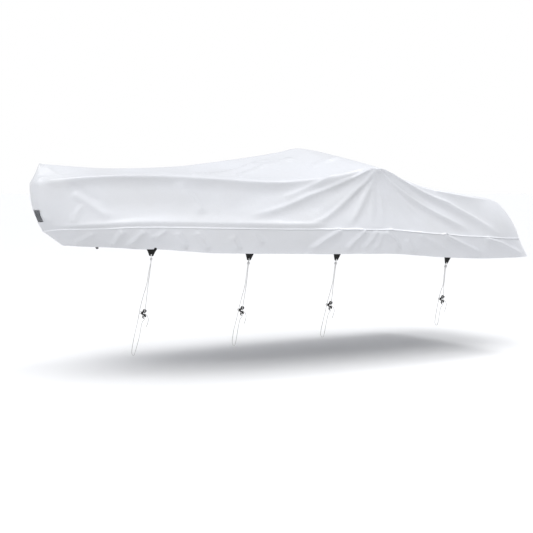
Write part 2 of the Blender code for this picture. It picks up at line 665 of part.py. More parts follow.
class CleatPlace:
    """A tensioner's own axes: down its rope, across it and outward, from the centre of its ring."""

    def __init__(self, tie):
        x = tie.x + STRANDS_APART / 2
        self.ring = Vector((x, *tie.ring))
        low = tie.up[0] if tie.up else tie.turn[-1]
        self.down = (Vector((tie.x, *low)) - self.ring).normalized()
        self.across = (CLEAT_FACES - self.down * CLEAT_FACES.dot(self.down)).normalized()
        self.out = self.down.cross(self.across).normalized()
        if self.out.y > 0:
            self.out = -self.out

    def at(self, across, down, out):
        return self.ring + self.across * across + self.down * down + self.out * out


def make_cleat(name, place, finish):
    step = (RING_TO - RING_FROM) / RING_STEPS
    angles = [math.radians(RING_FROM + step * i) for i in range(RING_STEPS + 1)]
    outline = [(RING_RADIUS * math.cos(a), RING_RADIUS * math.sin(a)) for a in angles] + list(CLEAT_BODY)
    mesh = bmesh.new()
    front = [mesh.verts.new(place.at(across, down, CLEAT_THICK / 2)) for across, down in outline]
    back = [mesh.verts.new(place.at(across, down, -CLEAT_THICK / 2)) for across, down in outline]
    mesh.faces.new(front)
    mesh.faces.new(back[::-1])
    for i in range(len(outline)):
        k = (i + 1) % len(outline)
        mesh.faces.new((front[k], front[i], back[i], back[k]))
    cleat = add_object(name, closed_mesh(name, mesh), finish)
    punch_hole(cleat, place.ring, place.out, EYE_RADIUS, 4 * CLEAT_THICK, EYE_SIDES)


def make_tie(number, tie, finishes):
    """A port tab with its rope's two strands, the knot round them and the tensioner."""
    place = TabPlace(tie.x, PORT, tie.parts)
    cleat = CleatPlace(tie)
    make_tab(f"tab_port_{number}", place, finishes["black"])
    parts = Vector((tie.x, *tie.parts))
    together = [parts.lerp(place.hole + place.down * KNOT_BELOW_HOLE, 0.35), parts]
    aside = place.along * (STRANDS_APART / 2)
    eye = [cleat.at(*at) for at in SHORT_ROPE_TO_EYE]
    short = [*bight(place, 1), *[at + aside for at in together], *eye]
    down = [at - aside for at in (*together, *[Vector((tie.x, *at)) for at in tie.down])]
    turn = [Vector((tie.x, *at)) for at in (*tie.turn, *tie.up)]
    long = [*bight(place, -1), *down, *turn, *[cleat.at(*at) for at in LONG_ROPE_PAST_CLEAT]]
    make_rope(f"rope_short_{number}", smooth_route(short), finishes["rope"])
    make_rope(f"rope_long_{number}", smooth_route(long), finishes["rope"])
    make_knot(f"knot_{number}", place, finishes["rope"])
    make_cleat(f"tensioner_{number}", cleat, finishes["plastic"])


def build():
    for old in list(bpy.data.objects):
        bpy.data.objects.remove(old)
    finishes = {
        "cloth": material("coated_cloth", CLOTH_COLOUR, 0.55),
        "black": material("black_webbing", BLACK_COLOUR, 0.75),
        "plastic": material("black_plastic", BLACK_COLOUR, 0.4),
        "rope": material("white_rope", ROPE_COLOUR, 0.8),
    }
    cloth = Cloth()
    seam_row = BAND_ROWS.index(SEAM)
    roller_rows = [seam_row + COVER_ROWS.index(level) for level in ROLLER_LEVELS]
    roller_columns = int(np.searchsorted(cloth.stations, ROLLER_STATION))

    def at_roller(i, j):
        return i < roller_columns and roller_rows[0] <= j < roller_rows[1]

    for side, word in ((PORT, "port"), (STARBOARD, "starboard")):
        cloth.sheet(
            f"cover_{word}", side, seam_row, cloth.last_row, finishes["cloth"], is_cut_out=at_roller
        )
        cloth.sheet(f"skirt_{word}", side, 0, seam_row, finishes["cloth"], lowered_row=seam_row)
    for number, tie in enumerate(TIES, start=1):
        make_tie(number, tie, finishes)
        place = TabPlace(tie.x, STARBOARD, (tie.parts[0], tie.parts[1]))
        make_tab(f"tab_starboard_{number}", place, finishes["black"])


build()
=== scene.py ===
"""Looks of the fitted boat cover: folded cloth, seams, tabs, braided ropes and tensioners round the frame."""

import math
from collections import namedtuple
from contextlib import contextmanager
from functools import lru_cache

import bmesh
import bpy
import numpy as np
from mathutils import Matrix, Vector


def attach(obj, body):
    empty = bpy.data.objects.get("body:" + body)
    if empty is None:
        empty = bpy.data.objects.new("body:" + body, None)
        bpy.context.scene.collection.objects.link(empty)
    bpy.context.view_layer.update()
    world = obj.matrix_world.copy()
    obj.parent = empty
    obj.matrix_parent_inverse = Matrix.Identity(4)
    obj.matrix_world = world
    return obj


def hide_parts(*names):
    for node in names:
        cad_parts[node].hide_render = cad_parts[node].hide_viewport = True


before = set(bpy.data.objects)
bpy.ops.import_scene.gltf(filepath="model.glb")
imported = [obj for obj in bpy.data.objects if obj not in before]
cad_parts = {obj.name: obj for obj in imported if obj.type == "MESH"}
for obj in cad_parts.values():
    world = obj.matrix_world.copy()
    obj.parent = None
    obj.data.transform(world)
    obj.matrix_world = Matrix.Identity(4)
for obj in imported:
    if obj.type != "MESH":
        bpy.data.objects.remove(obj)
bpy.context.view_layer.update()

PORT, STARBOARD = -1.0, 1.0  # the sign of Y on each side

# Cloth
CLOTH_THICK = 0.0025
CUT_GAP = 0.0003  # between pieces that meet
HEM, SEAM, RAIL, RIDGE = 0.0, 1.0, 2.0, 3.0  # the levels on the cover, from its lower edge up

# Half of the draped cover, bow to stern: x, half-breadth and z of the hem, of the seam above the skirt
# band and of the rail line (bow rail, canopy corner, coaming), then x and z of the centre ridge.
# side_sag and top_sag are how far the cloth hangs inside a straight line between those points.
Section = namedtuple("Section", "hem seam rail ridge side_sag top_sag")
SECTIONS = tuple(Section(*row) for row in (
    ((-3.382, 0, -1.133), (-3.62, 0, -0.966), (-3.765, 0, -0.4), (-3.665, -0.173), -0.05, 0),
    ((-3.34, 0.065, -1.136), (-3.59, 0.07, -0.958), (-3.757, 0.07, -0.401), (-3.64, -0.176), -0.045, 0),
    ((-3.289, 0.141, -1.138), (-3.543, 0.148, -0.947), (-3.728, 0.132, -0.402), (-3.6, -0.181), -0.03, 0),
    ((-3.155, 0.288, -1.143), (-3.42, 0.288, -0.937), (-3.6, 0.255, -0.37), (-3.49, -0.19), -0.01, 0.01),
    ((-2.841, 0.559, -1.154), (-3.13, 0.548, -0.929), (-3.293, 0.458, -0.322), (-3.171, -0.216), 0.02, 0.02),
    ((-2.576, 0.723, -1.169), (-2.814, 0.757, -0.913), (-2.943, 0.608, -0.303), (-2.85, -0.235), 0.035, 0.03),
    ((-2.23, 0.888, -1.191), (-2.35, 0.955, -0.918), (-2.385, 0.771, -0.312), (-2.35, -0.238), 0.045, 0.03),
    ((-1.859, 1.016, -1.222), (-1.886, 1.084, -0.936), (-1.768, 0.872, -0.34), (-1.8, -0.216), 0.045, 0.03),
    ((-1.448, 1.091, -1.24), (-1.44, 1.15, -0.952), (-1.334, 0.916, -0.374), (-1.4, -0.18), 0.04, 0.03),
    ((-0.941, 1.145, -1.261), (-0.94, 1.185, -0.972), (-0.88, 0.937, -0.388), (-0.86, -0.121), 0.035, 0.025),
    ((-0.371, 1.176, -1.284), (-0.37, 1.21, -0.99), (-0.33, 0.925, -0.35), (-0.313, -0.043), 0.03, 0.015),
    ((0.05, 1.185, -1.297), (0.06, 1.216, -1.004), (0.09, 0.913, -0.3), (0, 0.0025), 0.025, -0.005),
    ((0.62, 1.19, -1.32), (0.6, 1.22, -1.027), (0.583, 0.9, -0.25), (0.5, -0.1), 0.02, -0.01),
    ((0.99, 1.19, -1.356), (0.97, 1.22, -1.066), (0.908, 0.912, -0.363), (0.93, -0.232), 0.02, 0.005),
    ((1.4, 1.183, -1.396), (1.346, 1.213, -1.103), (1.311, 0.92, -0.486), (1.34, -0.372), 0.015, 0.01),
    ((1.8, 1.174, -1.424), (1.77, 1.2, -1.14), (1.726, 0.92, -0.556), (1.74, -0.49), 0.01, 0.01),
    ((2.185, 1.165, -1.447), (2.162, 1.185, -1.17), (2.11, 0.915, -0.618), (2.09, -0.56), 0, 0.005),
    ((2.62, 1.138, -1.457), (2.52, 1.155, -1.2), (2.48, 0.885, -0.668), (2.41, -0.622), -0.04, 0),
    ((2.97, 1.11, -1.456), (2.83, 1.1, -1.215), (2.68, 0.83, -0.73), (2.53, -0.65), -0.04, 0),
    ((3.06, 0.95, -1.456), (2.93, 0.93, -1.218), (2.765, 0.68, -0.752), (2.6, -0.665), -0.045, 0),
    ((3.08, 0.5, -1.456), (2.96, 0.5, -1.218), (2.805, 0.4, -0.76), (2.65, -0.68), -0.04, 0),
    ((3.08, 0, -1.456), (2.96, 0, -1.218), (2.815, 0, -0.765), (2.68, -0.69), -0.04, 0),
))
RAIL_ROUND = 0.06  # the share of a level in which the cloth turns over the rail line
RIDGE_ROUND = 0.15  # how soft the centre ridge is, from 0 for a sharp one

# Folds, as ridges of cloth. path is the ridge's places as x along the boat and level, with smooth cloth
# between them; width is half of the ridge's own, at its first and last place.
Fold = namedtuple("Fold", "path from_width to_width height")
PORT_FOLDS = tuple(Fold(*row) for row in (
    # bow: slanting down from the bow rail, and by the roller's opening
    (((-3.41, 1.75), (-3.03, 1.18)), 0.05, 0.06, 0.014),
    (((-2.26, 1.9), (-2.04, 1.25)), 0.09, 0.12, 0.014),
    # over the gunwale's edge, just above the seam
    (((-2.97, 1.08), (-2.25, 1.15), (-1.86, 1.15), (-0.78, 1.12)), 0.05, 0.05, 0.012),
    # on the top, from the foredeck to the windscreen frame
    (((-1.45, 2.5), (-0.77, 2.72), (-0.11, 2.76)), 0.05, 0.06, 0.010),
    (((-0.83, 2.33), (-0.06, 2.6)), 0.05, 0.05, 0.012),
    # fanning out from the canopy corner, bow to stern
    (((-1.62, 1.25), (-0.75, 1.7), (-0.35, 1.88), (0.45, 2.03)), 0.11, 0.05, 0.030),
    (((0.5, 1.97), (0.19, 1.78), (-0.05, 1.6), (-0.37, 1.38), (-0.73, 1.12)), 0.045, 0.085, 0.026),
    (((0.53, 1.95), (0.26, 1.55), (0.04, 1.3), (-0.15, 1.07)), 0.045, 0.07, 0.020),
    (((0.62, 1.93), (0.68, 1.78), (0.87, 1.4), (1.1, 1.1)), 0.05, 0.08, 0.010),
    (((0.64, 1.96), (1.01, 1.78), (1.44, 1.48), (2.04, 1.08)), 0.045, 0.08, 0.026),
    (((0.95, 1.98), (1.45, 1.85), (1.93, 1.55), (2.44, 1.05)), 0.05, 0.09, 0.016),
    # skirt band, under the fan
    (((-0.2, 0.98), (-0.68, 0.05)), 0.05, 0.06, 0.008),
    (((0.49, 0.95), (0.75, 0.1)), 0.05, 0.06, 0.007),
    (((1.48, 0.98), (2.25, 0.15)), 0.06, 0.07, 0.012),
))
STARBOARD_FOLDS = tuple(Fold(*row) for row in (
    (((-3.3, 1.8), (-2.85, 1.2)), 0.06, 0.08, 0.012),
    (((-2.8, 1.1), (-1.9, 1.14), (-0.9, 1.12)), 0.05, 0.05, 0.010),
    (((-1.4, 1.3), (-0.6, 1.75), (0.4, 2.02)), 0.11, 0.05, 0.026),
    (((0.5, 1.97), (0.1, 1.6), (-0.6, 1.12)), 0.045, 0.085, 0.024),
    (((0.55, 1.95), (0.3, 1.5), (0.1, 1.08)), 0.045, 0.07, 0.018),
    (((0.64, 1.96), (1.1, 1.7), (1.9, 1.1)), 0.045, 0.08, 0.024),
    (((1.0, 1.97), (1.6, 1.75), (2.4, 1.08)), 0.05, 0.09, 0.016),
    (((1.5, 0.95), (2.1, 0.15)), 0.06, 0.07, 0.010),
))
FOLD_STEP = 0.15  # between the points that a fold's path is read at, at most
FOLD_RISE, FOLD_FADE = 0.12, 0.2  # the shares of a path in which a fold rises and fades

# Opening in the nose for the boat's bow roller
ROLLER_STATION = 1  # out to this section on both sides
ROLLER_LEVELS = (1.2, 1.46)

# Tie tabs
TAB_TOP, TAB_WIDE, TAB_NARROW = 0.100, 0.108, 0.046  # widths: at its sewn edge, at the hem, at its end
TAB_SEWN, TAB_LONG, TAB_THICK = 0.024, 0.082, 0.003
TAB_GAP = 0.0012  # to the cloth that it is sewn behind
TAB_HOLE_AT, TAB_HOLE_RADIUS = 0.068, 0.0065
NEAR_TAB, UP_BAND = 0.03, 0.12  # how far each way in x, and to which level, the band's slope is read

# Tie ropes
ROPE_DIAMETER = 0.008
ROPE_STEP = 0.025  # between the points of a straight run
ROPE_MAX_POINTS = 80
ROUTE_STEPS = 20  # between two places, that its route is read at
BEND_PER_POINT = math.radians(34)  # how much a run turns between two points
STRANDS_APART = 0.014  # along the boat, where the two strands of a tie run side by side
BIGHT_RADIUS = 0.014  # of the rope's turn through a tab's hole
KNOT_BELOW_HOLE = 0.052
KNOT_SLACK = 0.0009  # between the knot's turns and the strands

# Each tie: x of its tab, then y and z of the places where its two strands part, of the tensioner's ring,
# and of the long strand's way down, round under the trailer's rail and up again. Port side.
Tie = namedtuple("Tie", "x parts ring down turn up")
TIES = (
    Tie(
        -2.59, (-0.621, -1.549), (-0.523, -1.903),
        ((-0.462, -1.833), (-0.367, -2.062), (-0.274, -2.265)),
        ((-0.207, -2.425), (-0.213, -2.45), (-0.238, -2.466), (-0.266, -2.456), (-0.284, -2.43)),
        ((-0.397, -2.229),),
    ),
    Tie(
        -1.475, (-0.999, -1.594), (-0.91, -1.9),
        ((-0.878, -1.86), (-0.8, -2.045), (-0.736, -2.19)),
        ((-0.69, -2.33), (-0.694, -2.358), (-0.716, -2.378), (-0.744, -2.372), (-0.762, -2.346)),
        (),
    ),
    Tie(
        -0.26, (-1.089, -1.65), (-1.035, -1.9),
        ((-0.985, -1.89), (-0.93, -2.04), (-0.867, -2.204)),
        ((-0.832, -2.3), (-0.836, -2.328), (-0.858, -2.347), (-0.886, -2.34), (-0.902, -2.314)),
        (),
    ),
    Tie(
        1.51, (-1.101, -1.763), (-1.082, -1.925),
        ((-1.059, -1.85), (-1.015, -1.971), (-0.955, -2.204)),
        ((-0.938, -2.268), (-0.942, -2.292), (-0.962, -2.307), (-0.985, -2.3), (-0.998, -2.275)),
        (),
    ),
)

# Rope tensioner: a flat plastic cleat. Its outline and the ropes' ways past it are given across, down
# from the centre of its ring and outward, in metres.
CLEAT_THICK = 0.008
RING_RADIUS, EYE_RADIUS = 0.023, 0.010
RING_FROM, RING_TO = 152, 475  # degrees of its arc, from across towards down
CLEAT_BODY = (
    (-0.014, 0.030), (-0.008, 0.040), (0.020, 0.042), (0.034, 0.070), (0.014, 0.082),
    (0.001, 0.076), (0.001, 0.084), (0.012, 0.098), (0.003, 0.106), (-0.014, 0.086),
    (-0.013, 0.066), (-0.042, 0.038), (-0.031, 0.016),
)
LONG_ROPE_PAST_CLEAT = (
    (0.000, 0.138, 0.009), (0.014, 0.110, 0.010), (0.020, 0.086, 0.011), (0.010, 0.068, 0.012),
    (-0.010, 0.055, 0.013), (-0.030, 0.045, 0.014), (-0.048, 0.038, 0.011), (-0.058, 0.032, 0.000),
    (-0.050, 0.027, -0.011), (-0.033, 0.024, -0.015), (-0.016, 0.026, -0.012), (0.000, 0.030, -0.005),
    (0.012, 0.033, 0.005), (0.026, 0.038, 0.011), (0.042, 0.052, 0.011), (0.056, 0.075, 0.007),
    (0.064, 0.105, 0.002), (0.063, 0.150, -0.002), (0.058, 0.198, -0.004),
)
SHORT_ROPE_TO_EYE = (
    (0.000, -0.060, 0.0115), (0.000, -0.030, 0.0120), (0.000, -0.014, 0.0120), (0.000, -0.007, 0.0101),
    (0.000, -0.0019, 0.0050), (0.000, 0.000, -0.0020), (0.000, 0.000, -0.0100), (0.000, 0.000, -0.0180),
)
CLEAT_FACES = Vector((0.834, -0.552, 0))  # the way across it; it hangs facing outboard and forward


def hermite(t, span, start, start_slope, end, end_slope):
    """A smooth curve's value at share t of a span."""
    return (
        (2 * t**3 - 3 * t**2 + 1) * start
        + (t**3 - 2 * t**2 + t) * span * start_slope
        + (3 * t**2 - 2 * t**3) * end
        + (t**3 - t**2) * span * end_slope
    )


def unit(vectors):
    return vectors / np.maximum(np.linalg.norm(vectors, axis=-1, keepdims=True), 1e-9)


def run_of(points):
    """How far along its own line each point lies."""
    return np.concatenate([[0], np.cumsum(np.linalg.norm(np.diff(points, axis=0), axis=-1))])


def section_rows():
    """The sections as rows of numbers, with a mirrored row past each end for the slope there."""
    rows = np.array(
        [[*s.hem, *s.seam, *s.rail, s.ridge[0], 0, s.ridge[1], s.side_sag, s.top_sag] for s in SECTIONS]
    )
    mirror = np.ones(rows.shape[1])
    mirror[[1, 4, 7]] = -1.0  # half-breadths change sign across the centreline
    return np.vstack([rows[1] * mirror, rows, rows[-2] * mirror])


def section_curves(stations):
    """The section rows at stations, which count sections from the bow, on smooth curves between them."""
    rows = section_rows()
    seam_steps = np.linalg.norm(np.diff(rows[:, 3:6], axis=0), axis=1)
    rail_steps = np.linalg.norm(np.diff(rows[:, 6:9], axis=0), axis=1)
    at = np.concatenate([[0.0], np.cumsum(seam_steps + rail_steps)])
    slope = (rows[2:] - rows[:-2]) / (at[2:] - at[:-2])[:, None]
    at, rows = at[1:-1], rows[1:-1]
    wanted = np.interp(stations, np.arange(len(SECTIONS)), at)
    k = np.clip(np.searchsorted(at, wanted, side="right") - 1, 0, len(at) - 2)
    gap = (at[k + 1] - at[k])[:, None]
    t = (wanted - at[k])[:, None] / gap
    return hermite(t, gap, rows[k], slope[k], rows[k + 1], slope[k + 1])


def sagging(start, end, along, share, weight, sag):
    """Points at share of the way from start to end, weight for x and z, hanging in by sag halfway."""
    line = end - start
    points = start + line * np.stack([weight, share, weight], axis=-1)
    return points + unit(np.cross(along, line)) * (sag * 4 * share * (1 - share))[..., None]


def bare_surface(stations, levels):
    """Points of the smooth cover, without folds, for arrays of stations and levels; +Y is outward."""
    stations, levels = np.broadcast_arrays(np.asarray(stations, float), np.asarray(levels, float))
    rows = section_curves(stations.ravel()).reshape(*stations.shape, -1)
    ahead = section_curves(np.minimum(stations.ravel() + 0.01, len(SECTIONS) - 1)).reshape(rows.shape)
    behind = section_curves(np.maximum(stations.ravel() - 0.01, 0)).reshape(rows.shape)
    along = (ahead - behind)[..., 3:6] + (ahead - behind)[..., 6:9]
    hem, seam, rail, ridge = (rows[..., i : i + 3] for i in (0, 3, 6, 9))
    side_sag, top_sag = rows[..., 12], rows[..., 13]

    def at(level):
        band = np.clip(level, HEM, SEAM)[..., None]
        side = np.clip(level - SEAM, 0, 1)
        top = np.clip(level - RAIL, 0, 1)
        crest = (np.sqrt((1 - top) ** 2 + RIDGE_ROUND**2) - RIDGE_ROUND) / (
            math.sqrt(1 + RIDGE_ROUND**2) - RIDGE_ROUND
        )
        points = hem + (seam - hem) * band
        on_side = sagging(seam, rail, along, side, side, side_sag)
        on_top = sagging(rail, ridge, along, top, 1 - crest, top_sag)
        points = np.where((level > SEAM)[..., None], on_side, points)
        return np.where((level > RAIL)[..., None], on_top, points)

    turn = np.clip((levels - RAIL + RAIL_ROUND) / (2 * RAIL_ROUND), 0, 1)[..., None]
    turned = (
        (1 - turn) ** 2 * at(np.full_like(levels, RAIL - RAIL_ROUND))
        + 2 * turn * (1 - turn) * at(np.full_like(levels, RAIL))
        + turn**2 * at(np.full_like(levels, RAIL + RAIL_ROUND))
    )
    return np.where((np.abs(levels - RAIL) < RAIL_ROUND)[..., None], turned, at(levels))


def station_of(x, level):
    """The station at which the smooth cover has this x on this level."""
    stations = np.linspace(0, len(SECTIONS) - 1, 40 * len(SECTIONS))
    xs = np.maximum.accumulate(bare_surface(stations, level)[:, 0])
    return float(np.interp(x, xs, stations))


@lru_cache(maxsize=None)
def fold_path(fold):
    """Points along a fold on the smooth cover, and the share of its length at each."""
    stations, levels = [], []
    for (x0, level0), (x1, level1) in zip(fold.path, fold.path[1:]):
        count = max(2, math.ceil(math.hypot(x1 - x0, (level1 - level0) * 0.6) / FOLD_STEP) + 1)
        share = np.linspace(0, 1, count)
        xs, row = x0 + (x1 - x0) * share, level0 + (level1 - level0) * share
        stations += [station_of(x, level) for x, level in zip(xs, row)]
        levels += list(row)
    points = bare_surface(np.array(stations), np.array(levels))
    along = run_of(points)
    return points, along / along[-1]


def eased(x):
    x = np.clip(x, 0, 1)
    return x * x * (3 - 2 * x)


def read_fold(fold, points):
    """For each point, its distance from a fold's path in the fold's widths, the path's share there, and
    how much of its way from the path is upward, from -1 to 1."""
    path, shares = fold_path(fold)
    nearest = np.full(points.shape[:-1], np.inf)
    share, rise = np.zeros(nearest.shape), np.zeros(nearest.shape)
    for a, b, at_a, at_b in zip(path, path[1:], shares, shares[1:]):
        if at_b > at_a:
            t = np.clip(((points - a) @ (b - a)) / ((b - a) @ (b - a)), 0, 1)
            apart = points - a - t[..., None] * (b - a)
            away = np.linalg.norm(apart, axis=-1)
            share = np.where(away < nearest, at_a + t * (at_b - at_a), share)
            rise = np.where(away < nearest, apart[..., 2] / np.maximum(away, 1e-6), rise)
            nearest = np.minimum(away, nearest)
    return nearest / (fold.from_width + (fold.to_width - fold.from_width) * share), share, rise


def fold_heights(points, folds):
    """How far the folds raise the cloth at these points: a ridge with a shallow trough on each side."""
    raised = np.zeros(points.shape[:-1])
    for fold in folds:
        q, share, _ = read_fold(fold, points)
        fade = eased(share / FOLD_RISE) * eased((1 - share) / FOLD_FADE)
        raised += fold.height * fade * (1 - q * q) * np.exp(-q * q / 2)
    return raised


def cover_surface(stations, levels, folds):
    """Points of the folded cover for arrays of stations and levels; +Y is outward."""
    step = 0.004
    points = bare_surface(stations, levels)
    last = len(SECTIONS) - 1
    along = bare_surface(np.minimum(stations + step, last), levels) - bare_surface(
        np.maximum(stations - step, 0), levels
    )
    up = bare_surface(stations, np.minimum(levels + step, RIDGE)) - bare_surface(
        stations, np.maximum(levels - step, HEM)
    )
    outward = unit(np.cross(up, along))
    on_centreline = ((stations < step) | (stations > last - step))[..., None] * np.ones(3)
    outward = np.where(on_centreline > 0, outward * (1, 0, 1), outward)
    outward = np.where((levels > RIDGE - step)[..., None], outward * (1, 0, 1), outward)
    return points + outward * fold_heights(points, folds)[..., None]


def cover_point(x, level, side):
    """A point of the folded cover in the part's own axes."""
    folds = PORT_FOLDS if side == PORT else STARBOARD_FOLDS
    point = cover_surface(np.array([station_of(x, level)]), np.array([float(level)]), folds)[0]
    return Vector((point[0], side * point[1], point[2]))


class TabPlace:
    """Where a tab hangs: along the hem, down the band above the hem, and down the tab below it."""

    def __init__(self, x, side, pulled_to):
        self.x, self.side = x, side
        ahead, behind = cover_point(x + NEAR_TAB, HEM, side), cover_point(x - NEAR_TAB, HEM, side)
        self.along = (ahead - behind).normalized()
        band = cover_point(x, HEM, side) - cover_point(x, UP_BAND, side)
        self.band_down, self.band_out = self.axes(band)
        self.hem = self.behind(0, HEM)
        pull = Vector((x, side * abs(pulled_to[0]), pulled_to[1])) - self.hem
        self.down, self.out = self.axes(pull)
        self.hole = self.hem + self.down * TAB_HOLE_AT

    def axes(self, down):
        down = (down - self.along * down.dot(self.along)).normalized()
        out = self.along.cross(down).normalized()
        return down, out if out.y * self.side > 0 else -out

    def behind(self, aside, level):
        """The middle of the webbing's thickness, behind the cloth."""
        x = self.x + aside - (self.band_down.x * TAB_SEWN if level > HEM else 0)
        return cover_point(x, level, self.side) - self.band_out * (CLOTH_THICK + TAB_GAP + TAB_THICK / 2)


def smooth_curve(p, count_for):
    """Points along a smooth curve through all of p but its ends; count_for gives each stretch's steps."""
    fine = []
    for k in range(1, len(p) - 2):
        one, two, three = (p[k + i] - p[k + i - 1] for i in range(3))
        before, here, after = (max(1e-6, step.length ** 0.5) for step in (one, two, three))
        slope0 = one / before - (one + two) / (before + here) + two / here
        slope1 = two / here - (two + three) / (here + after) + three / after
        count = count_for(two.length)
        fine += [hermite(i / count, here, p[k], slope0, p[k + 1], slope1) for i in range(count)]
    return fine + [p[-2]]


def smooth_route(places):
    """Points along a smooth curve through places, closer together in its bends; the first step is kept."""
    fine = smooth_curve([*places, 2 * places[-1] - places[-2]], lambda length: ROUTE_STEPS)
    steps = np.array([(b - a).length for a, b in zip(fine, fine[1:])])
    turn = np.array([0, *[(b - a).angle(c - b, 0.0) for a, b, c in zip(fine, fine[1:], fine[2:])], 0])
    at = np.concatenate([[0], np.cumsum(steps)])
    bends = (turn[1:] + turn[:-1]) / 2
    spent = np.concatenate([[0], np.cumsum(steps / ROPE_STEP + bends / BEND_PER_POINT)])
    count = min(ROPE_MAX_POINTS - 1, math.ceil(spent[-1]) + 1)
    wanted = np.interp(np.linspace(0, spent[-1], count), spent, at)
    route = np.stack([np.interp(wanted, at, [f[axis] for f in fine]) for axis in range(3)], axis=-1)
    return [places[0], *[Vector(point) for point in route]]


def finer(points, step):
    """The same route with points step apart, on a smooth curve."""
    ends = 2 * points[0] - points[1], 2 * points[-1] - points[-2]
    return smooth_curve([ends[0], *points, ends[1]], lambda length: max(1, round(length / step)))


def bight(place, sign):
    """A strand's first places: half of the turn through the tab's hole, then down to the knot."""
    ways = [(0, CUT_GAP / 2), (0, 0.002)]
    for angle in map(math.radians, (30, 60, 90)):
        ways.append((BIGHT_RADIUS * (1 - math.cos(angle)), 0.001 + BIGHT_RADIUS * math.sin(angle)))
    for below, apart in ((-0.014, 1.3), (0, 1), (0.03, 1)):
        ways.append((KNOT_BELOW_HOLE + below, apart * STRANDS_APART / 2))
    return [place.hole + place.down * down + place.out * (sign * out) for down, out in ways]


class CleatPlace:
    """A tensioner's own axes: down its rope, across it and outward, from the centre of its ring."""

    def __init__(self, tie):
        x = tie.x + STRANDS_APART / 2
        self.ring = Vector((x, *tie.ring))
        low = tie.up[0] if tie.up else tie.turn[-1]
        self.down = (Vector((tie.x, *low)) - self.ring).normalized()
        self.across = (CLEAT_FACES - self.down * CLEAT_FACES.dot(self.down)).normalized()
        self.out = self.down.cross(self.across).normalized()
        if self.out.y > 0:
            self.out = -self.out

    def at(self, across, down, out):
        return self.ring + self.across * across + self.down * down + self.out * out


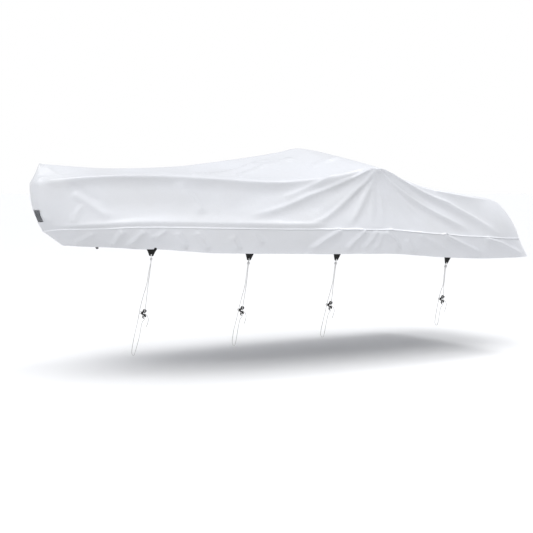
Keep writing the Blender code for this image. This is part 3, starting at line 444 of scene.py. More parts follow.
# Narrow crests over the broad folds of the port side; a furrow has a height below zero.
APEX = (0.53, 2.0)  # the canopy corner, which the fan of folds is drawn from
PORT_CREASES = tuple(Fold(*row) for row in (
    # over the bow rail, and the creased cloth of the bow deck
    (
        ((-3.7, 2.06), (-3.14, 1.99), (-2.59, 2.0), (-2.08, 2.08), (-1.5, 2.14), (-1.04, 2.06), (-0.8, 1.97)),
        0.030, 0.030, 0.012,
    ),
    (((-3.76, 2.02), (-3.68, 2.28), (-3.52, 2.13)), 0.02, 0.03, 0.012),
    (((-3.6, 2.8), (-3.49, 2.34), (-3.35, 1.93)), 0.02, 0.03, 0.010),
    (((-3.44, 1.9), (-3.3, 1.7), (-3.12, 1.5)), 0.03, 0.035, -0.008),
    (((-3.4, 1.16), (-3.36, 1.375), (-3.3, 1.52)), 0.02, 0.03, 0.014),
    (((-3.41, 1.72), (-3.22, 1.46), (-3.03, 1.2)), 0.025, 0.03, 0.015),
    (((-2.26, 1.9), (-2.12, 1.6), (-2.0, 1.25)), 0.035, 0.05, 0.014),
    (((-3.71, 1.4), (-3.64, 1.3), (-3.59, 1.15)), 0.03, 0.03, 0.008),
    # on the top, towards the windscreen frame
    (((-2.08, 2.13), (-1.43, 2.47), (-0.94, 2.70), (-0.35, 2.8)), 0.026, 0.026, 0.034),
    (((-1.36, 2.3), (-0.82, 2.61), (-0.35, 2.675), (-0.08, 2.69)), 0.026, 0.026, 0.036),
    (((-0.3, 2.31), (0.11, 2.44), (0.42, 2.6)), 0.03, 0.03, 0.022),
    (((-0.91, 1.7), (-0.48, 1.88), (-0.02, 2.06)), 0.03, 0.03, 0.012),
    # the fan, bow to stern
    (
        (APEX, (0.3, 1.94), (0.06, 1.885), (-0.22, 1.80), (-0.58, 1.69), (-1.01, 1.47), (-1.57, 1.22)),
        0.016, 0.06, 0.024,
    ),
    ((APEX, (0.34, 1.81), (0.12, 1.675), (-0.17, 1.43), (-0.44, 1.22), (-0.73, 1.07)), 0.012, 0.05, 0.024),
    ((APEX, (0.41, 1.76), (0.2, 1.48), (0.05, 1.265), (-0.14, 1.05)), 0.010, 0.035, 0.017),
    ((APEX, (0.44, 1.69), (0.37, 1.44), (0.25, 1.06)), 0.010, 0.03, 0.011),
    ((APEX, (0.52, 1.575), (0.45, 1.075)), 0.010, 0.03, 0.010),
    ((APEX, (0.62, 1.6), (0.68, 1.1)), 0.012, 0.03, 0.006),
    ((APEX, (0.8, 1.68), (1.16, 1.28)), 0.012, 0.035, 0.008),
    (
        (APEX, (0.61, 1.913), (0.77, 1.8), (0.98, 1.688), (1.33, 1.5), (1.73, 1.263), (1.93, 1.137)),
        0.012, 0.035, 0.021,
    ),
    ((APEX, (0.91, 1.955), (1.14, 1.9), (1.65, 1.725), (2.06, 1.438), (2.52, 1.025)), 0.014, 0.05, 0.026),
    (((1.5, 1.95), (2.11, 1.938), (2.48, 1.938)), 0.03, 0.03, 0.008),
    # skirt band
    (((-3.2, 0.9), (-3.33, 0.15)), 0.025, 0.03, 0.020),
    (((-2.94, 0.95), (-2.99, 0.04)), 0.025, 0.03, 0.027),
    (((-2.72, 0.92), (-2.86, 0.08)), 0.025, 0.03, 0.027),
    (((-2.5, 0.95), (-2.62, 0.5)), 0.02, 0.025, 0.020),
    (((-2.37, 0.85), (-2.22, 0.08)), 0.025, 0.035, 0.022),
    (((-2.15, 0.88), (-1.97, 0.08)), 0.025, 0.03, 0.021),
    (((-1.73, 0.75), (-1.6, 0.12)), 0.025, 0.03, 0.020),
    (((-1.45, 0.85), (-1.3, 0.4)), 0.02, 0.03, 0.015),
    (((-0.24, 1.02), (-0.45, 0.69), (-0.69, 0.17)), 0.025, 0.035, 0.027),
    (((0.14, 1.0), (-0.01, 0.625), (-0.16, 0.16)), 0.022, 0.032, 0.027),
    (((0.33, 1.0), (0.25, 0.66), (0.09, 0.16)), 0.018, 0.028, 0.021),
    (((0.40, 0.96), (0.36, 0.5), (0.28, 0.12)), 0.018, 0.025, 0.017),
    (((0.45, 0.98), (0.61, 0.6), (0.72, 0.16)), 0.02, 0.03, 0.025),
    (((0.8, 0.7), (0.99, 0.12)), 0.02, 0.03, 0.017),
    (((1.42, 1.02), (1.78, 0.625), (2.15, 0.2)), 0.025, 0.045, 0.032),
    (((1.0, 0.95), (1.3, 0.6), (1.55, 0.2)), 0.02, 0.04, 0.013),
    (((2.16, 1.0), (2.49, 0.75), (2.89, 0.13)), 0.025, 0.045, 0.031),
))
NARROWER, LOWER = 0.4, 0.7  # a starboard crest against the fold that it lies on
STARBOARD_CREASES = tuple(
    Fold(f.path, f.from_width * NARROWER, f.to_width * NARROWER, f.height * LOWER) for f in STARBOARD_FOLDS
)
FOLD_SHARE = 0.35  # of a fold's height that its broad swell keeps under the narrow crests

# ---------------------------------------------------------------- camera, light and floor

PHOTO_SIDE, FOCAL_LENGTH = 533, 1400  # pixels
HORIZON_UP = 116.5  # pixels from the middle of the frame up to the horizon
CAMERA_AT = (-10.409, -14.94, -0.02)
CAMERA_TURN = math.radians(-33.5)
SENSOR = 36
GROUND = -2.711
FLOOR_RADIUS = 70


def into_scene(name, data):
    made = bpy.data.objects.new(name, data)
    bpy.context.scene.collection.objects.link(made)
    return made


def set_camera():
    data = bpy.data.cameras.new("camera")
    data.sensor_width = SENSOR
    data.lens = SENSOR * FOCAL_LENGTH / PHOTO_SIDE
    data.clip_end = 200
    camera = into_scene("camera", data)
    tilt = math.atan(HORIZON_UP / FOCAL_LENGTH)
    right = Vector((math.cos(CAMERA_TURN), math.sin(CAMERA_TURN), 0))
    back = Vector((right.y * math.cos(tilt), -right.x * math.cos(tilt), math.sin(tilt)))
    place = Matrix((right, back.cross(right), back)).transposed().to_4x4()
    place.translation = CAMERA_AT
    camera.matrix_world = place
    bpy.context.scene.camera = camera


def add_light(name, kind, place, target, power, **settings):
    data = bpy.data.lights.new(name, kind)
    data.energy = power
    for setting, value in settings.items():
        setattr(data, setting, value)
    light = into_scene(name, data)
    light.location = place
    light.rotation_euler = (Vector(target) - Vector(place)).to_track_quat("-Z", "Y").to_euler()


def material(name, roughness, specular=0.5, sheen=0.0):
    """A new material, its nodes, its shader, and the place on the piece that its patterns go by."""
    made = bpy.data.materials.new(name)
    made.use_nodes = True
    tree = made.node_tree
    shader = tree.nodes["Principled BSDF"]
    shader.inputs["Roughness"].default_value = roughness
    shader.inputs["Specular IOR Level"].default_value = specular
    shader.inputs["Sheen Weight"].default_value = sheen
    return made, tree, shader, tree.nodes.new("ShaderNodeTexCoord").outputs["Object"]


def math_node(tree, operation, a, b=None):
    made = tree.nodes.new("ShaderNodeMath")
    made.operation = operation
    tree.links.new(a, made.inputs[0])
    if isinstance(b, float):
        made.inputs[1].default_value = b
    elif b:
        tree.links.new(b, made.inputs[1])
    return made.outputs[0]


def ramp(tree, value, stops):
    made = tree.nodes.new("ShaderNodeValToRGB")
    made.color_ramp.elements[0].position, made.color_ramp.elements[0].color = stops[0]
    made.color_ramp.elements[1].position, made.color_ramp.elements[1].color = stops[-1]
    for position, colour in stops[1:-1]:
        made.color_ramp.elements.new(position).color = colour
    tree.links.new(value, made.inputs[0])
    return made.outputs[0]


def grey(v, tint=(1.0, 1.0, 1.0)):
    return (v * tint[0], v * tint[1], v * tint[2], 1)


def noise(tree, vector, scale, detail=2.0, roughness=0.5):
    made = tree.nodes.new("ShaderNodeTexNoise")
    made.inputs["Scale"].default_value = scale
    made.inputs["Detail"].default_value = detail
    made.inputs["Roughness"].default_value = roughness
    tree.links.new(vector, made.inputs["Vector"])
    return made.outputs[0]


def patchy(tree, vector, scale, detail, *stops):
    """Noise turned into greys, each stop a share of the noise and its grey."""
    return ramp(tree, noise(tree, vector, scale, detail), [(at, grey(tone)) for at, tone in stops])


def weave(tree, pitch):
    """Height of a plain weave, from the UV map in metres."""
    uv = tree.nodes.new("ShaderNodeUVMap")
    split = tree.nodes.new("ShaderNodeSeparateXYZ")
    tree.links.new(uv.outputs[0], split.inputs[0])
    across, along = (math_node(tree, "MULTIPLY", split.outputs[k], 2 * math.pi / pitch) for k in (0, 1))
    return math_node(tree, "MULTIPLY", math_node(tree, "SINE", across), math_node(tree, "SINE", along))


def bump(tree, shader, height, distance, strength=1.0, before=None):
    made = tree.nodes.new("ShaderNodeBump")
    made.inputs["Strength"].default_value = strength
    made.inputs["Distance"].default_value = distance
    tree.links.new(height, made.inputs["Height"])
    if before is not None:
        tree.links.new(before, made.inputs["Normal"])
    tree.links.new(made.outputs[0], shader.inputs["Normal"])
    return made.outputs[0]


def mixed(tree, factor, a, b):
    made = tree.nodes.new("ShaderNodeMix")
    made.data_type = "RGBA"
    tree.links.new(factor, made.inputs["Factor"])
    for socket, value in ((made.inputs[6], a), (made.inputs[7], b)):
        if isinstance(value, tuple):
            socket.default_value = value
        else:
            tree.links.new(value, socket)
    return made.outputs[2]


def cloth_material(name, tone):
    made, tree, shader, position = material(name, 0.4, sheen=0.08)
    flatter = tree.nodes.new("ShaderNodeVectorMath")
    flatter.operation = "MULTIPLY"
    flatter.inputs[1].default_value = (1.0, 1.0, 1.6)
    tree.links.new(position, flatter.inputs[0])
    patches = patchy(tree, flatter.outputs[0], 1.3, 3.0, (0.42, 0), (0.66, 1))
    specks = patchy(tree, position, 60.0, 2.0, (0.62, 0), (0.75, 0.25))
    clean, dusty = grey(tone, (0.972, 0.988, 1.03)), grey(tone * 0.96, (0.975, 0.988, 1.02))
    base = mixed(tree, specks, mixed(tree, patches, clean, dusty), grey(tone * 0.9))
    tree.links.new(base, shader.inputs["Base Color"])
    tree.links.new(patchy(tree, position, 3.0, 3.0, (0.3, 0.32), (0.7, 0.42)), shader.inputs["Roughness"])
    crumpled = bump(tree, shader, noise(tree, position, 9.0, 4.0, 0.55), 0.010, 0.35)
    bump(tree, shader, weave(tree, 0.0011), 0.00012, 0.6, crumpled)
    return made


def thread_material(name, colour):
    made, tree, shader, position = material(name, 0.6, sheen=0.2)
    shaded = (*(c * 0.9 for c in colour[:3]), 1)
    twist = mixed(tree, noise(tree, position, 900.0, 1.0), shaded, colour)
    tree.links.new(twist, shader.inputs["Base Color"])
    return made


def webbing_material(name):
    made, tree, shader, position = material(name, 0.72, 0.18, 0.04)
    dust = patchy(tree, position, 45.0, 3.0, (0.35, 0), (0.75, 1))
    tree.links.new(mixed(tree, dust, grey(0.006), grey(0.013)), shader.inputs["Base Color"])
    bump(tree, shader, weave(tree, 0.0022), 0.0003, 0.8)
    return made


def plastic_material(name):
    made, tree, shader, position = material(name, 0.4, 0.2)
    tree.links.new(patchy(tree, position, 30.0, 3.0, (0.3, 0.005), (0.7, 0.010)), shader.inputs["Base Color"])
    tree.links.new(patchy(tree, position, 120.0, 3.0, (0.3, 0.34), (0.7, 0.48)), shader.inputs["Roughness"])
    bump(tree, shader, noise(tree, position, 1400.0, 2.0), 0.00015, 0.4)
    return made


def rope_material(name):
    made, tree, shader, position = material(name, 0.68, sheen=0.25)
    soil = patchy(tree, position, 14.0, 3.0, (0.4, 0), (0.8, 1))
    clean, soiled = grey(0.46, (1, 0.995, 0.98)), grey(0.36, (1, 0.98, 0.95))
    tree.links.new(mixed(tree, soil, clean, soiled), shader.inputs["Base Color"])
    bump(tree, shader, noise(tree, position, 1200.0, 2.0), 0.0003, 0.5)
    return made


def link(name, mesh, finish):
    piece = into_scene(name, mesh)
    mesh.materials.append(finish)
    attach(piece, "root")
    return piece


def mesh_of(name, corners, faces):
    mesh = bpy.data.meshes.new(name)
    mesh.from_pydata(corners, [], faces)
    return mesh


@contextmanager
def editing(mesh):
    work = bmesh.new()
    work.from_mesh(mesh)
    yield work
    work.to_mesh(mesh)
    work.free()


def fix_normals(mesh):
    with editing(mesh) as work:
        bmesh.ops.recalc_face_normals(work, faces=work.faces)


# ---------------------------------------------------------------- cloth

STATION_STEP = 0.032  # of the seam's length, between columns of the cloth's grid
HEM_STITCH_LEVEL, HEM_TURN = 0.072, 0.075  # the hem's stitching, and how far up its cloth is double
SEAM_STITCH_LEVELS, OVERLAP_TOP = (1.004, 1.022), 1.024
TAPE_LEVEL, TAPE_WIDE, TAPE_PROUD, TAPE_SUNK = 1.012, 0.013, 0.0030, 0.001
OVERLAP_LIFT, HEM_LIFT, STITCH_LIFT = 0.0028, 0.0009, 0.0001  # over the cloth's own surface
BAND_LEVELS = np.concatenate(
    [[0, 0.004, 0.03, HEM_STITCH_LEVEL, 0.078, 0.10], np.linspace(0.14, 0.94, 13), [0.97, 1.0]]
)
COVER_LEVELS = np.concatenate(
    [
        [1.0, 1.004, 1.012, 1.022, 1.026, 1.045],
        np.linspace(1.07, 1.90, 30),
        np.linspace(1.92, 2.2, 29),
        np.linspace(2.23, 2.9, 18),
        np.linspace(2.925, 3.0, 6),
    ]
)
NORMAL_REACH = 0.012  # the levels up and down that the cloth's direction is read at

# Crests: the shares of a path in which they rise and fade, their height and sharpness, and their widths,
# which are less above the path and more below it
CREST_RISE, CREST_FADE = 0.03, 0.25
CREST_HEIGHT, CREST_SHARPNESS, CREST_ROUND = 1.25, 1.5, 0.25
CREST_WIDTH, CREST_LEAN, CREST_TURN = 1.25, 0.65, 1.3

# Small relief, in metres, with its places and reaches as levels or as x
CORNER_POINT = np.array([0.50, 0.9, -0.255])  # the canopy's corner, under the apex of the fan
CORNER_HEIGHT, CORNER_REACH = 0.022, 0.07
UNDULATIONS = ((0.0030, 2.1, 3), (0.0016, 5.3, 5))  # height, scale and seed of each
PUCKER_HEIGHT, PUCKER_REACH = 0.0026, 0.06  # along the seam
TIGHT_X, TIGHT_REACH = 0.28, 0.42  # where the seam is puckered most
FLUTTER = 0.010  # of the band's hem
HOLLOW_DEPTH, HOLLOW_LEVEL, HOLLOW_REACH = 0.018, 1.82, 0.15  # under the bow rail
GUNWALE_LEVEL, GUNWALE_REACH, GUNWALE_FADE = 1.095, 0.045, 0.28
SOFT_EDGE, SHARP_EDGE, WHOLE_EDGE = 0.022, 0.010, 0.032  # over the gunwale; the last is the others' sum
HOLLOW_ALONG, GUNWALE_ALONG = (-3.72, 0.1, 0.5), (-3.62, -0.35, 0.35)  # from x to x, fading in the third
LOOSE_STATIONS = 1.5  # at each end, in which the small relief dies away
ON_LINE = 1e-6  # how near an end or the ridge counts as on it


def fine_stations():
    stations = [0.0]
    for k, (a, b) in enumerate(zip(SECTIONS, SECTIONS[1:])):
        count = max(2, round(math.dist(a.seam, b.seam) / STATION_STEP))
        stations += [k + (i + 1) / count for i in range(count)]
    return np.array(stations)


def value_noise(points, scale, seed):
    """Smooth noise from -1 to 1 at points (n, 2 or 3), with features 1/scale across."""
    p = points * scale + seed * 17.31
    cell = np.floor(p).astype(np.int64)
    t = p - cell
    t = t * t * t * (t * (t * 6 - 15) + 10)
    size = p.shape[-1]
    total = np.zeros(p.shape[:-1])
    for corner in range(2**size):
        at = [(corner >> k) & 1 for k in range(size)]
        key = np.full(p.shape[:-1], seed * 7919, dtype=np.int64)
        weight = np.ones(p.shape[:-1])
        for k in range(size):
            key = key * 374761393 + (cell[..., k] + at[k]) * 668265263
            key = (key ^ (key >> 13)) * 1274126177 & 0x7FFFFFFFFFFF
            weight = weight * (t[..., k] if at[k] else 1 - t[..., k])
        total += weight * ((key >> 8) % 65536 / 32767.5 - 1)
    return total


def crest_heights(points, folds):
    """The sharp crests of folds, where the cloth is drawn tight over nothing."""
    raised = np.zeros(points.shape[:-1])
    for fold in folds:
        q, share, rise = read_fold(fold, points)
        q = q / (CREST_WIDTH - CREST_LEAN * np.clip(rise * CREST_TURN, -1, 1))
        fade = eased(share / CREST_RISE) * eased((1 - share) / CREST_FADE)
        drop = CREST_ROUND - np.sqrt(q * q + CREST_ROUND**2)
        raised += CREST_HEIGHT * fold.height * fade * np.exp(CREST_SHARPNESS * drop)
    return raised


def between(x, low, high, soft):
    return eased((x - low) / soft) * eased((high - x) / soft)


def bell(x, middle, reach):
    return np.exp(-(((x - middle) / reach) ** 2))


def fine_relief(points, stations, levels, side):
    """The small relief on the folded cloth: its edges over the rail and gunwale, puckers and undulations."""
    x = points[..., 0]
    along = np.stack([x, points[..., 2], points[..., 1] * side], axis=-1)
    soft = sum(height * value_noise(along, scale, seed) for height, scale, seed in UNDULATIONS)
    ripple = value_noise(np.stack([x, levels * 0.4], axis=-1), 12.0, 11)
    waves = value_noise(np.stack([x, levels * 0.3], axis=-1), 4.0, 19)
    tight = 0.7 + 4.5 * bell(x, TIGHT_X, TIGHT_REACH)
    puckers = PUCKER_HEIGHT * bell(levels, SEAM, PUCKER_REACH) * ripple * tight
    flutter = FLUTTER * np.clip(SEAM - levels, 0, 1) * waves
    hollow = -HOLLOW_DEPTH * bell(levels, HOLLOW_LEVEL, HOLLOW_REACH) * between(x, *HOLLOW_ALONG)
    sharp_edge = bell(levels, GUNWALE_LEVEL, GUNWALE_REACH)
    above = SOFT_EDGE * bell(levels, GUNWALE_LEVEL, GUNWALE_FADE) + SHARP_EDGE * sharp_edge
    edge = np.where(levels > GUNWALE_LEVEL, above, WHOLE_EDGE * sharp_edge)
    gunwale = between(x, *GUNWALE_ALONG) * edge
    corner = CORNER_HEIGHT * np.exp(-np.linalg.norm(points - CORNER_POINT, axis=-1) / CORNER_REACH)
    last = len(SECTIONS) - 1
    ends = np.clip(stations / LOOSE_STATIONS, 0, 1) * np.clip((last - stations) / LOOSE_STATIONS, 0, 1)
    return ends * (soft + puckers + flutter + hollow + gunwale + corner)


class Sheet:
    """A grid of cloth points over both sides, joined on the centreline, with its UVs in metres."""

    def __init__(self, levels, folds, creases, lift):
        self.stations = fine_stations()
        self.levels = levels
        s, v = np.meshgrid(self.stations, levels, indexing="ij")
        middle = (s < ON_LINE) | (s > len(SECTIONS) - 1 - ON_LINE) | (v > RIDGE - ON_LINE)
        self.points, self.uvs, self.index = [], [], {}
        for side in (PORT, STARBOARD):
            swells = tuple(f._replace(height=f.height * FOLD_SHARE) for f in folds[side])
            points, below, above = (
                cover_surface(s, np.clip(v + step, HEM, RIDGE), swells)
                for step in (0, -NORMAL_REACH, NORMAL_REACH)
            )
            # read a little way up and down, so that both sides of a seam agree
            outward = unit(np.cross(above - below, np.gradient(points, axis=0)))
            raised = fine_relief(points, s, v, side) + crest_heights(points, creases[side]) + lift(v)
            outward = np.where(middle[..., None], outward * (1, 0, 1), outward)
            points = points + outward * raised[..., None]
            steps = np.linalg.norm(np.diff(points, axis=1), axis=-1)
            across = np.concatenate([np.zeros((len(s), 1)), np.cumsum(steps, axis=1)], axis=1)
            along = run_of(points[:, 0])
            for i, j in np.ndindex(s.shape):
                key = self.key(side, i, j)
                if key not in self.index:
                    self.index[key] = len(self.points)
                    x, y, z = points[i, j]
                    self.points.append((x, side * y if key[0] else 0.0, z))
                    self.uvs.append((along[i], across[i, j]))

    def key(self, side, i, j):
        shared = i in (0, len(self.stations) - 1) or self.levels[j] > RIDGE - ON_LINE
        return (0 if shared else side, i, j)

    def build(self, name, finish, cut=lambda i, j: False):
        faces = []
        for side in (PORT, STARBOARD):
            for i, j in np.ndindex(len(self.stations) - 1, len(self.levels) - 1):
                if not cut(i, j):
                    corners = ((i, j), (i + 1, j), (i + 1, j + 1), (i, j + 1))
                    quad = [self.index[self.key(side, *at)] for at in corners]
                    faces.append(quad if side == PORT else quad[::-1])
        mesh = mesh_of(name, self.points, faces)
        layer = mesh.uv_layers.new(name="UVMap")
        uvs = np.array(self.uvs)[np.array([loop.vertex_index for loop in mesh.loops])]
        layer.data.foreach_set("uv", uvs.ravel())
        mesh.shade_smooth()
        piece = link(name, mesh, finish)
        solid = piece.modifiers.new("thickness", "SOLIDIFY")
        solid.thickness = CLOTH_THICK
        solid.offset = -1
        solid.use_even_offset = False
        with editing(mesh) as work:
            bmesh.ops.delete(work, geom=[v for v in work.verts if not v.link_faces], context="VERTS")
        return piece

    def line(self, side, level_at):
        """Points and their outward and upward directions along a line of cloth at a level."""

        def row(j):
            keys = (self.key(side, i, j) for i in range(len(self.stations)))
            return np.array([self.points[self.index[key]] for key in keys])

        j = int(np.argmin(np.abs(self.levels - level_at)))
        points = row(j)
        up = row(min(j + 1, len(self.levels) - 1)) - row(max(j - 1, 0))
        out = np.cross(np.gradient(points, axis=0), up) * (1 if side == PORT else -1)
        return points, unit(out), unit(up)


def stitch_rows(name, lines, finish, pitch=0.008, long=0.0056, wide=0.0011, proud=0.0007):
    """Stitches as small closed lozenges laid along lines of (points, outward directions)."""
    corners, faces = [], []
    shape = ((-0.5, 0, 0), (0, -1, 0), (0.5, 0, 0), (0, 1, 0), (0, 0, 1), (0, 0, -0.5))
    sides = ((0, 1, 4), (1, 2, 4), (2, 3, 4), (3, 0, 4), (1, 0, 5), (2, 1, 5), (3, 2, 5), (0, 3, 5))
    reach = 1e-3  # to each side, that a stitch's direction is read over
    for points, out in lines:
        at = run_of(points)
        places = np.arange(pitch / 2, at[-1], pitch)
        centre, ahead, behind, normal = (
            np.stack([np.interp(places + step, at, values[:, k]) for k in range(3)], axis=-1)
            for step, values in ((0, points), (reach, points), (-reach, points), (0, out))
        )
        along = unit(ahead - behind)
        across = np.cross(normal, along)
        for c, a, b, n in zip(centre, along, across, normal):
            first = len(corners)
            corners += [tuple(c + a * (u * long) + b * (v * wide / 2) + n * (w * proud)) for u, v, w in shape]
            faces += [tuple(first + k for k in side) for side in sides]
    return link(name, mesh_of(name, corners, faces), finish)


def tape(name, lines, finish, wide, proud, sunk):
    """A flat strip with a rounded back, lying along lines of cloth."""
    half = [(-0.5, -sunk), (-0.5, 0.35 * proud), (-0.3, proud)]
    shape = half + [(-a, b) for a, b in reversed(half)]
    count = len(shape)
    corners, faces = [], []
    for line in lines:
        first = len(corners)
        for p, n, u in zip(*line):
            corners += [tuple(p + u * (a * wide) + n * b) for a, b in shape]
        last = len(corners) - count
        for a in range(first, last, count):
            for k in range(count):
                m = (k + 1) % count
                faces.append((a + k, a + count + k, a + count + m, a + m))
        faces.append(tuple(range(first, first + count)))
        faces.append(tuple(reversed(range(last, last + count))))
    mesh = mesh_of(name, corners, faces)
    fix_normals(mesh)
    mesh.shade_smooth()
    return link(name, mesh, finish)


# ---------------------------------------------------------------- tabs, ropes and tensioners


def flat_shape(name, outline, hole, thick, round_off, cut_at=()):
    """A mesh of a flat outline with a hole, thick in Z, with its edges rounded."""
    data = bpy.data.curves.new(name, "CURVE")
    data.dimensions = "2D"
    data.fill_mode = "BOTH"
    data.extrude = thick / 2 - round_off
    data.bevel_depth = round_off
    data.bevel_resolution = 2
    data.offset = -round_off
    for points in (outline, hole):
        spline = data.splines.new("POLY")
        spline.points.add(len(points) - 1)
        for at, (x, y) in zip(spline.points, points):
            at.co = (x, y, 0, 1)
        spline.use_cyclic_u = True
    piece = into_scene(name, data)
    mesh = bpy.data.meshes.new_from_object(piece.evaluated_get(bpy.context.evaluated_depsgraph_get()))
    bpy.data.objects.remove(piece)
    bpy.data.curves.remove(data)
    with editing(mesh) as work:
        bmesh.ops.remove_doubles(work, verts=work.verts, dist=1e-6)
        for y in cut_at:
            geometry = [*work.verts, *work.edges, *work.faces]
            bmesh.ops.bisect_plane(work, geom=geometry, plane_co=(0, y, 0), plane_no=(0, 1, 0))
        bmesh.ops.recalc_face_normals(work, faces=work.faces)
    mesh.name = name
    return mesh


def rounded(corners, radius, steps=5):
    """A polygon's corners turned into arcs."""
    points = []
    for before, corner, after in zip(corners[-1:] + corners[:-1], corners, corners[1:] + corners[:1]):
        b, c, a = Vector(before), Vector(corner), Vector(after)
        back, on = (b - c).normalized(), (a - c).normalized()
        half = back.angle(on) / 2
        r = min(radius, 0.45 * min((b - c).length, (a - c).length) * math.tan(half))
        centre = c + (back + on).normalized() * (r / math.sin(half))
        start = c + back * (r / math.tan(half)) - centre
        end = c + on * (r / math.tan(half)) - centre
        for i in range(steps + 1):
            way = start.lerp(end, i / steps)
            points.append(tuple(centre + way.normalized() * r))
    return points


def circle(x, y, radius, steps):
    return [
        (x + radius * math.cos(2 * math.pi * k / steps), y + radius * math.sin(2 * math.pi * k / steps))
        for k in range(steps)
    ]


def smooth_by_angle(mesh, degrees):
    mesh.shade_smooth()
    faces_of = {}
    for face in mesh.polygons:
        for key in face.edge_keys:
            faces_of.setdefault(key, []).append(face.normal)
    for edge in mesh.edges:
        normals = faces_of.get(edge.key, [])
        if len(normals) == 2 and normals[0].angle(normals[1], 0) > math.radians(degrees):
            edge.use_edge_sharp = True


TAB_CORNER, TAB_EDGE = 0.008, 0.0009  # the radii of its corners and of its edges
TAB_BENDS_AT = (0.012, 0.004, 0.0, -0.004, -0.02, -0.04)
TAB_REACH = 0.06  # to each side, that the hem's curve is read over
TAB_TURN, TAB_FLATTENS = 0.02, 0.03  # in which it turns to its own slope, and loses the hem's curve


def dress_tab(name, place, finish, thread):
    """Webbing folded double and stitched round its edge, with a hot-cut hole."""
    half = [(-TAB_TOP / 2, TAB_SEWN), (-TAB_WIDE / 2, 0), (-TAB_NARROW / 2, -TAB_LONG)]
    corners = half + [(-x, y) for x, y in reversed(half)]
    hole = circle(0, -TAB_HOLE_AT, TAB_HOLE_RADIUS, 24)
    mesh = flat_shape(name, rounded(corners, TAB_CORNER), hole, TAB_THICK, TAB_EDGE, TAB_BENDS_AT)
    layer = mesh.uv_layers.new(name="UVMap")
    for loop, uv in zip(mesh.loops, layer.data):
        uv.uv = mesh.vertices[loop.vertex_index].co.xy

    across = np.linspace(-TAB_REACH, TAB_REACH, 7)
    edge = [place.behind(x, HEM) - place.hem - place.along * x for x in across]

    def to_place(x, y, z):
        bend = min(1, max(0, 0.5 - y / TAB_TURN))
        out = place.band_out.lerp(place.out, bend).normalized()
        curve = Vector([np.interp(x, across, [e[k] for e in edge]) for k in range(3)])
        down = place.band_down if y > 0 else place.down
        curved = curve * min(1, max(0, 1 + y / TAB_FLATTENS))
        return place.hem + place.along * x + down * -y + curved + out * z

    for vertex in mesh.vertices:
        vertex.co = to_place(*vertex.co)
    fix_normals(mesh)
    smooth_by_angle(mesh, 40)
    tab = link(name + "_webbing", mesh, finish)
    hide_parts(name)
    inset = [(x * 0.86, min(-0.003, -0.003 + (y * 0.90))) for x, y in rounded(corners[1:5], TAB_CORNER)]
    points = np.array([to_place(x, y, TAB_THICK / 2) for x, y in inset + inset[:1]])
    out = np.tile(np.array(place.out), (len(points), 1))
    stitching = stitch_rows(name + "_stitching", [(points, out)], thread, 0.0045, 0.0034, 0.0008, 0.0005)
    return tab


BRAID_SIDES = 16  # points round the rope
BRAID_RELIEF = 0.00055  # from its crossing strands' crests to their furrows
BRAID_PITCH = 0.026  # of a strand's turn round the rope
BRAID_STEP = 0.0032  # between the braid's rings


def braid(name, points, finish, closed=False, radius=ROPE_DIAMETER / 2):
    """A braided rope along points: crossing strands stand proud of its round section."""
    n = len(points)
    tangents = []
    for i in range(n):
        a = points[(i - 1) % n] if closed or i > 0 else points[i]
        b = points[(i + 1) % n] if closed or i < n - 1 else points[i]
        tangents.append((b - a).normalized())
    side = tangents[0].orthogonal().normalized()
    corners, run = [], 0.0
    for i in range(n):
        if i:
            side = (side - tangents[i] * side.dot(tangents[i])).normalized()
            run += (points[i] - points[i - 1]).length
        other = tangents[i].cross(side)
        phase = 2 * math.pi * run / BRAID_PITCH
        for k in range(BRAID_SIDES):
            angle = 2 * math.pi * k / BRAID_SIDES
            over = math.cos(4 * angle + phase * 2) * math.cos(4 * angle - phase * 2)
            r = radius - BRAID_RELIEF / 2 + BRAID_RELIEF / 2 * over
            corners.append(tuple(points[i] + (side * math.cos(angle) + other * math.sin(angle)) * r))
    faces = []
    for i in range(n if closed else n - 1):
        a, b = i * BRAID_SIDES, ((i + 1) % n) * BRAID_SIDES
        for k in range(BRAID_SIDES):
            m = (k + 1) % BRAID_SIDES
            faces.append((a + k, a + m, b + m, b + k))
    if not closed:
        faces.append(tuple(range(BRAID_SIDES))[::-1])
        faces.append(tuple((n - 1) * BRAID_SIDES + k for k in range(BRAID_SIDES)))
    mesh = mesh_of(name, corners, faces)
    fix_normals(mesh)
    mesh.shade_smooth()
    return link(name, mesh, finish)


HITCH_TURNS, HITCH_STEPS, HITCH_GAP = 2.75, 36, 0.0004  # turns, steps in each and the gap between them
HITCH_FLAT = 2.2  # how much its long sides are straightened


def knot_route(centre, across, along, down):
    """A hitch's turns round both strands: a stadium that climbs by a rope's diameter each turn."""
    route = []
    for i in range(int(HITCH_TURNS * HITCH_STEPS) + 1):
        share = i / HITCH_STEPS
        angle = 2 * math.pi * share
        away = across * math.cos(angle) + along * math.sin(angle)
        middle = across * (STRANDS_APART / 2 * max(-1, min(1, math.cos(angle) * HITCH_FLAT)))
        climb = down * ((share - HITCH_TURNS / 2) * (ROPE_DIAMETER + HITCH_GAP))
        route.append(centre + middle + away * (ROPE_DIAMETER + KNOT_SLACK) + climb)
    return route


STOPPER_SIZE, STOPPER_BEHIND, STOPPER_ROPE, STOPPER_STEPS = 0.0072, 0.0165, 0.0037, 64
STOPPER_LOBES, STOPPER_DEPTH = 0.42, 0.75  # as shares of its size


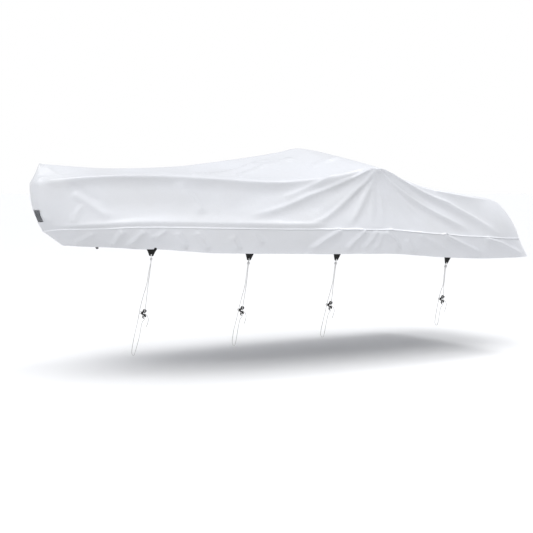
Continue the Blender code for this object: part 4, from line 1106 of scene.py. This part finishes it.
def stopper_route(centre, axis, aside):
    """A closed knot of rope behind the tensioner's ring, round the rope's end."""
    other = axis.cross(aside).normalized()
    route = []
    for t in (2 * math.pi * i / STOPPER_STEPS for i in range(STOPPER_STEPS)):
        r = STOPPER_SIZE * (1 + STOPPER_LOBES * math.cos(3 * t))
        flat = aside * (r * math.cos(2 * t)) + other * (r * math.sin(2 * t))
        route.append(centre + flat + axis * (STOPPER_SIZE * STOPPER_DEPTH * math.sin(3 * t)))
    return route


CLEAT_CORNER, CLEAT_EDGE = 0.006, 0.0024
CORNER_STEPS = 4


def dress_cleat(name, place, finish):
    """The moulded tensioner: ring, bar and nib, rounded all over."""
    angles = [math.radians(RING_FROM + (RING_TO - RING_FROM) * i / 32) for i in range(33)]
    ring = [(RING_RADIUS * math.cos(a), RING_RADIUS * math.sin(a)) for a in angles]
    body = rounded([(0.0, 0.0), *CLEAT_BODY], CLEAT_CORNER, CORNER_STEPS)[CORNER_STEPS + 1 :]
    mesh = flat_shape(name, ring + body, circle(0, 0, EYE_RADIUS, 32), CLEAT_THICK, CLEAT_EDGE)
    for vertex in mesh.vertices:
        vertex.co = place.at(*vertex.co)
    fix_normals(mesh)
    smooth_by_angle(mesh, 50)
    cleat = link(name + "_body", mesh, finish)
    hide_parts(name)
    return cleat


def dress_tie(number, tie, finishes):
    place = TabPlace(tie.x, PORT, tie.parts)
    cleat = CleatPlace(tie)
    dress_tab(f"tab_port_{number}", place, finishes["webbing"], finishes["black_thread"])
    parts = Vector((tie.x, *tie.parts))
    together = [parts.lerp(place.hole + place.down * KNOT_BELOW_HOLE, 0.35), parts]
    aside = place.along * (STRANDS_APART / 2)
    eye = [cleat.at(*at) for at in SHORT_ROPE_TO_EYE]
    short = smooth_route([*bight(place, 1), *[at + aside for at in together], *eye])
    down = [at - aside for at in (*together, *[Vector((tie.x, *at)) for at in tie.down])]
    turn = [Vector((tie.x, *at)) for at in (*tie.turn, *tie.up)]
    long = smooth_route([*bight(place, -1), *down, *turn, *[cleat.at(*at) for at in LONG_ROPE_PAST_CLEAT]])

    knot = braid(
        f"hitch_{number}",
        knot_route(place.hole + place.down * KNOT_BELOW_HOLE, place.out, place.along, place.down),
        finishes["rope"],
    )
    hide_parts(f"knot_{number}")
    body = dress_cleat(f"tensioner_{number}", cleat, finishes["plastic"])
    stopper = braid(
        f"stopper_{number}",
        stopper_route(cleat.at(0, 0, -STOPPER_BEHIND), cleat.out, cleat.across),
        finishes["rope"],
        closed=True,
        radius=STOPPER_ROPE,
    )
    for kind, route, far_end, extra in (
        ("short", short, "fitting", [knot, body, stopper]),
        ("long", long, "bare", []),
    ):
        rope = braid(f"tie_{kind}_{number}", finer(route, BRAID_STEP), finishes["rope"])
        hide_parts(f"rope_{kind}_{number}")


# ---------------------------------------------------------------- everything


def dress():
    set_camera()
    finishes = {
        "cloth": cloth_material("coated_polyester", 0.515),
        # painted light: the band's cloth is a lighter copy of the same cloth, lifting the shade that falls on
        # the low, downward-facing band
        "band": cloth_material("coated_polyester_band_painted_light", 0.555),
        # painted highlight: the seam tape is real, but its tone, lighter than the same cloth elsewhere,
        # stands in for the bright catch light along the seam
        "welt": cloth_material("coated_polyester_tape_painted_highlight", 0.62),
        "thread": thread_material("white_thread", grey(0.82)),
        "black_thread": thread_material("black_thread", grey(0.03)),
        "webbing": webbing_material("black_webbing"),
        "plastic": plastic_material("moulded_plastic"),
        "rope": rope_material("braided_polyester"),
    }
    folds = {PORT: PORT_FOLDS, STARBOARD: STARBOARD_FOLDS}
    creases = {PORT: PORT_CREASES, STARBOARD: STARBOARD_CREASES}

    def overlap(v):
        """The top's edge lies over the band, doubled under its stitching."""
        return np.where(v < OVERLAP_TOP, OVERLAP_LIFT, 0.0)

    top = Sheet(COVER_LEVELS, folds, creases, overlap)
    roller = int(np.searchsorted(top.stations, ROLLER_STATION))

    def at_roller(i, j):
        return i < roller and ROLLER_LEVELS[0] <= top.levels[j] < ROLLER_LEVELS[1]

    cover = top.build("cover_cloth", finishes["cloth"], at_roller)
    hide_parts("cover_port", "cover_starboard")

    def hemmed(v):
        return np.where(v < HEM_TURN, HEM_LIFT, 0.0)

    band = Sheet(BAND_LEVELS, folds, creases, hemmed)
    skirt = band.build("skirt_cloth", finishes["band"])
    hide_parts("skirt_port", "skirt_starboard")

    seam = [top.line(side, TAPE_LEVEL) for side in (PORT, STARBOARD)]
    welt = tape("seam_welt", seam, finishes["welt"], TAPE_WIDE, TAPE_PROUD, TAPE_SUNK)
    rows = []
    for sheet, levels in ((top, SEAM_STITCH_LEVELS), (band, (HEM_STITCH_LEVEL,))):
        for level_at in levels:
            for side in (PORT, STARBOARD):
                points, out, _ = sheet.line(side, level_at)
                rows.append((points + out * STITCH_LIFT, out))
    stitching = stitch_rows("stitching", rows, finishes["thread"])

    for number, tie in enumerate(TIES, start=1):
        dress_tie(number, tie, finishes)
        place = TabPlace(tie.x, STARBOARD, tie.parts)
        dress_tab(f"tab_starboard_{number}", place, finishes["webbing"], finishes["black_thread"])

    make_floor()
    make_lights()
    bpy.context.scene.view_settings.view_transform = "Standard"


def make_floor():
    data = bpy.data.meshes.new("floor")
    with editing(data) as work:
        bmesh.ops.create_circle(work, cap_ends=True, segments=96, radius=FLOOR_RADIUS)
    made, _, shader, _ = material("pale_floor", 0.9)
    shader.inputs["Base Color"].default_value = grey(0.71)
    data.materials.append(made)
    floor = into_scene("floor", data)
    floor.location.z = GROUND


# The world's brightness by height: white at the horizon, darker above it and bright overhead
SKY = ((0.12, grey(1.0)), (0.28, grey(0.56, (0.98, 0.995, 1.03))), (1.0, grey(1.06, (0.97, 0.99, 1.04))))
OVERHEAD_AT, OVERHEAD_POWER, OVERHEAD_ANGLE = (-3.6, -3.4, 11.0), 1.95, math.radians(55)
# Each softbox: its name, its place, the place it faces, its size and its power
SOFTBOXES = (
    ("key", (-8.5, -6.0, 6.5), (0, -0.6, -0.8), (3.5, 2.5), 285),
    ("bow", (-11.5, -3.4, 0.6), (-3.5, -0.6, -0.8), (2.5, 2.0), 65),
    ("streak", (6.8, 0.2, 6.4), (0.4, -0.8, -0.9), (3.0, 2.0), 330),
)


def make_lights():
    world = bpy.data.worlds.new("studio")
    bpy.context.scene.world = world
    world.use_nodes = True
    tree = world.node_tree
    towards = tree.nodes.new("ShaderNodeTexCoord").outputs["Generated"]
    split = tree.nodes.new("ShaderNodeSeparateXYZ")
    tree.links.new(towards, split.inputs[0])
    glow = ramp(tree, split.outputs[2], SKY)
    tree.links.new(glow, tree.nodes["Background"].inputs[0])
    add_light("softbox", "SUN", OVERHEAD_AT, (0, 0, 0), OVERHEAD_POWER, angle=OVERHEAD_ANGLE)
    for name, place, target, (wide, high), power in SOFTBOXES:
        add_light(name, "AREA", place, target, power, shape="RECTANGLE", size=wide, size_y=high)


dress()
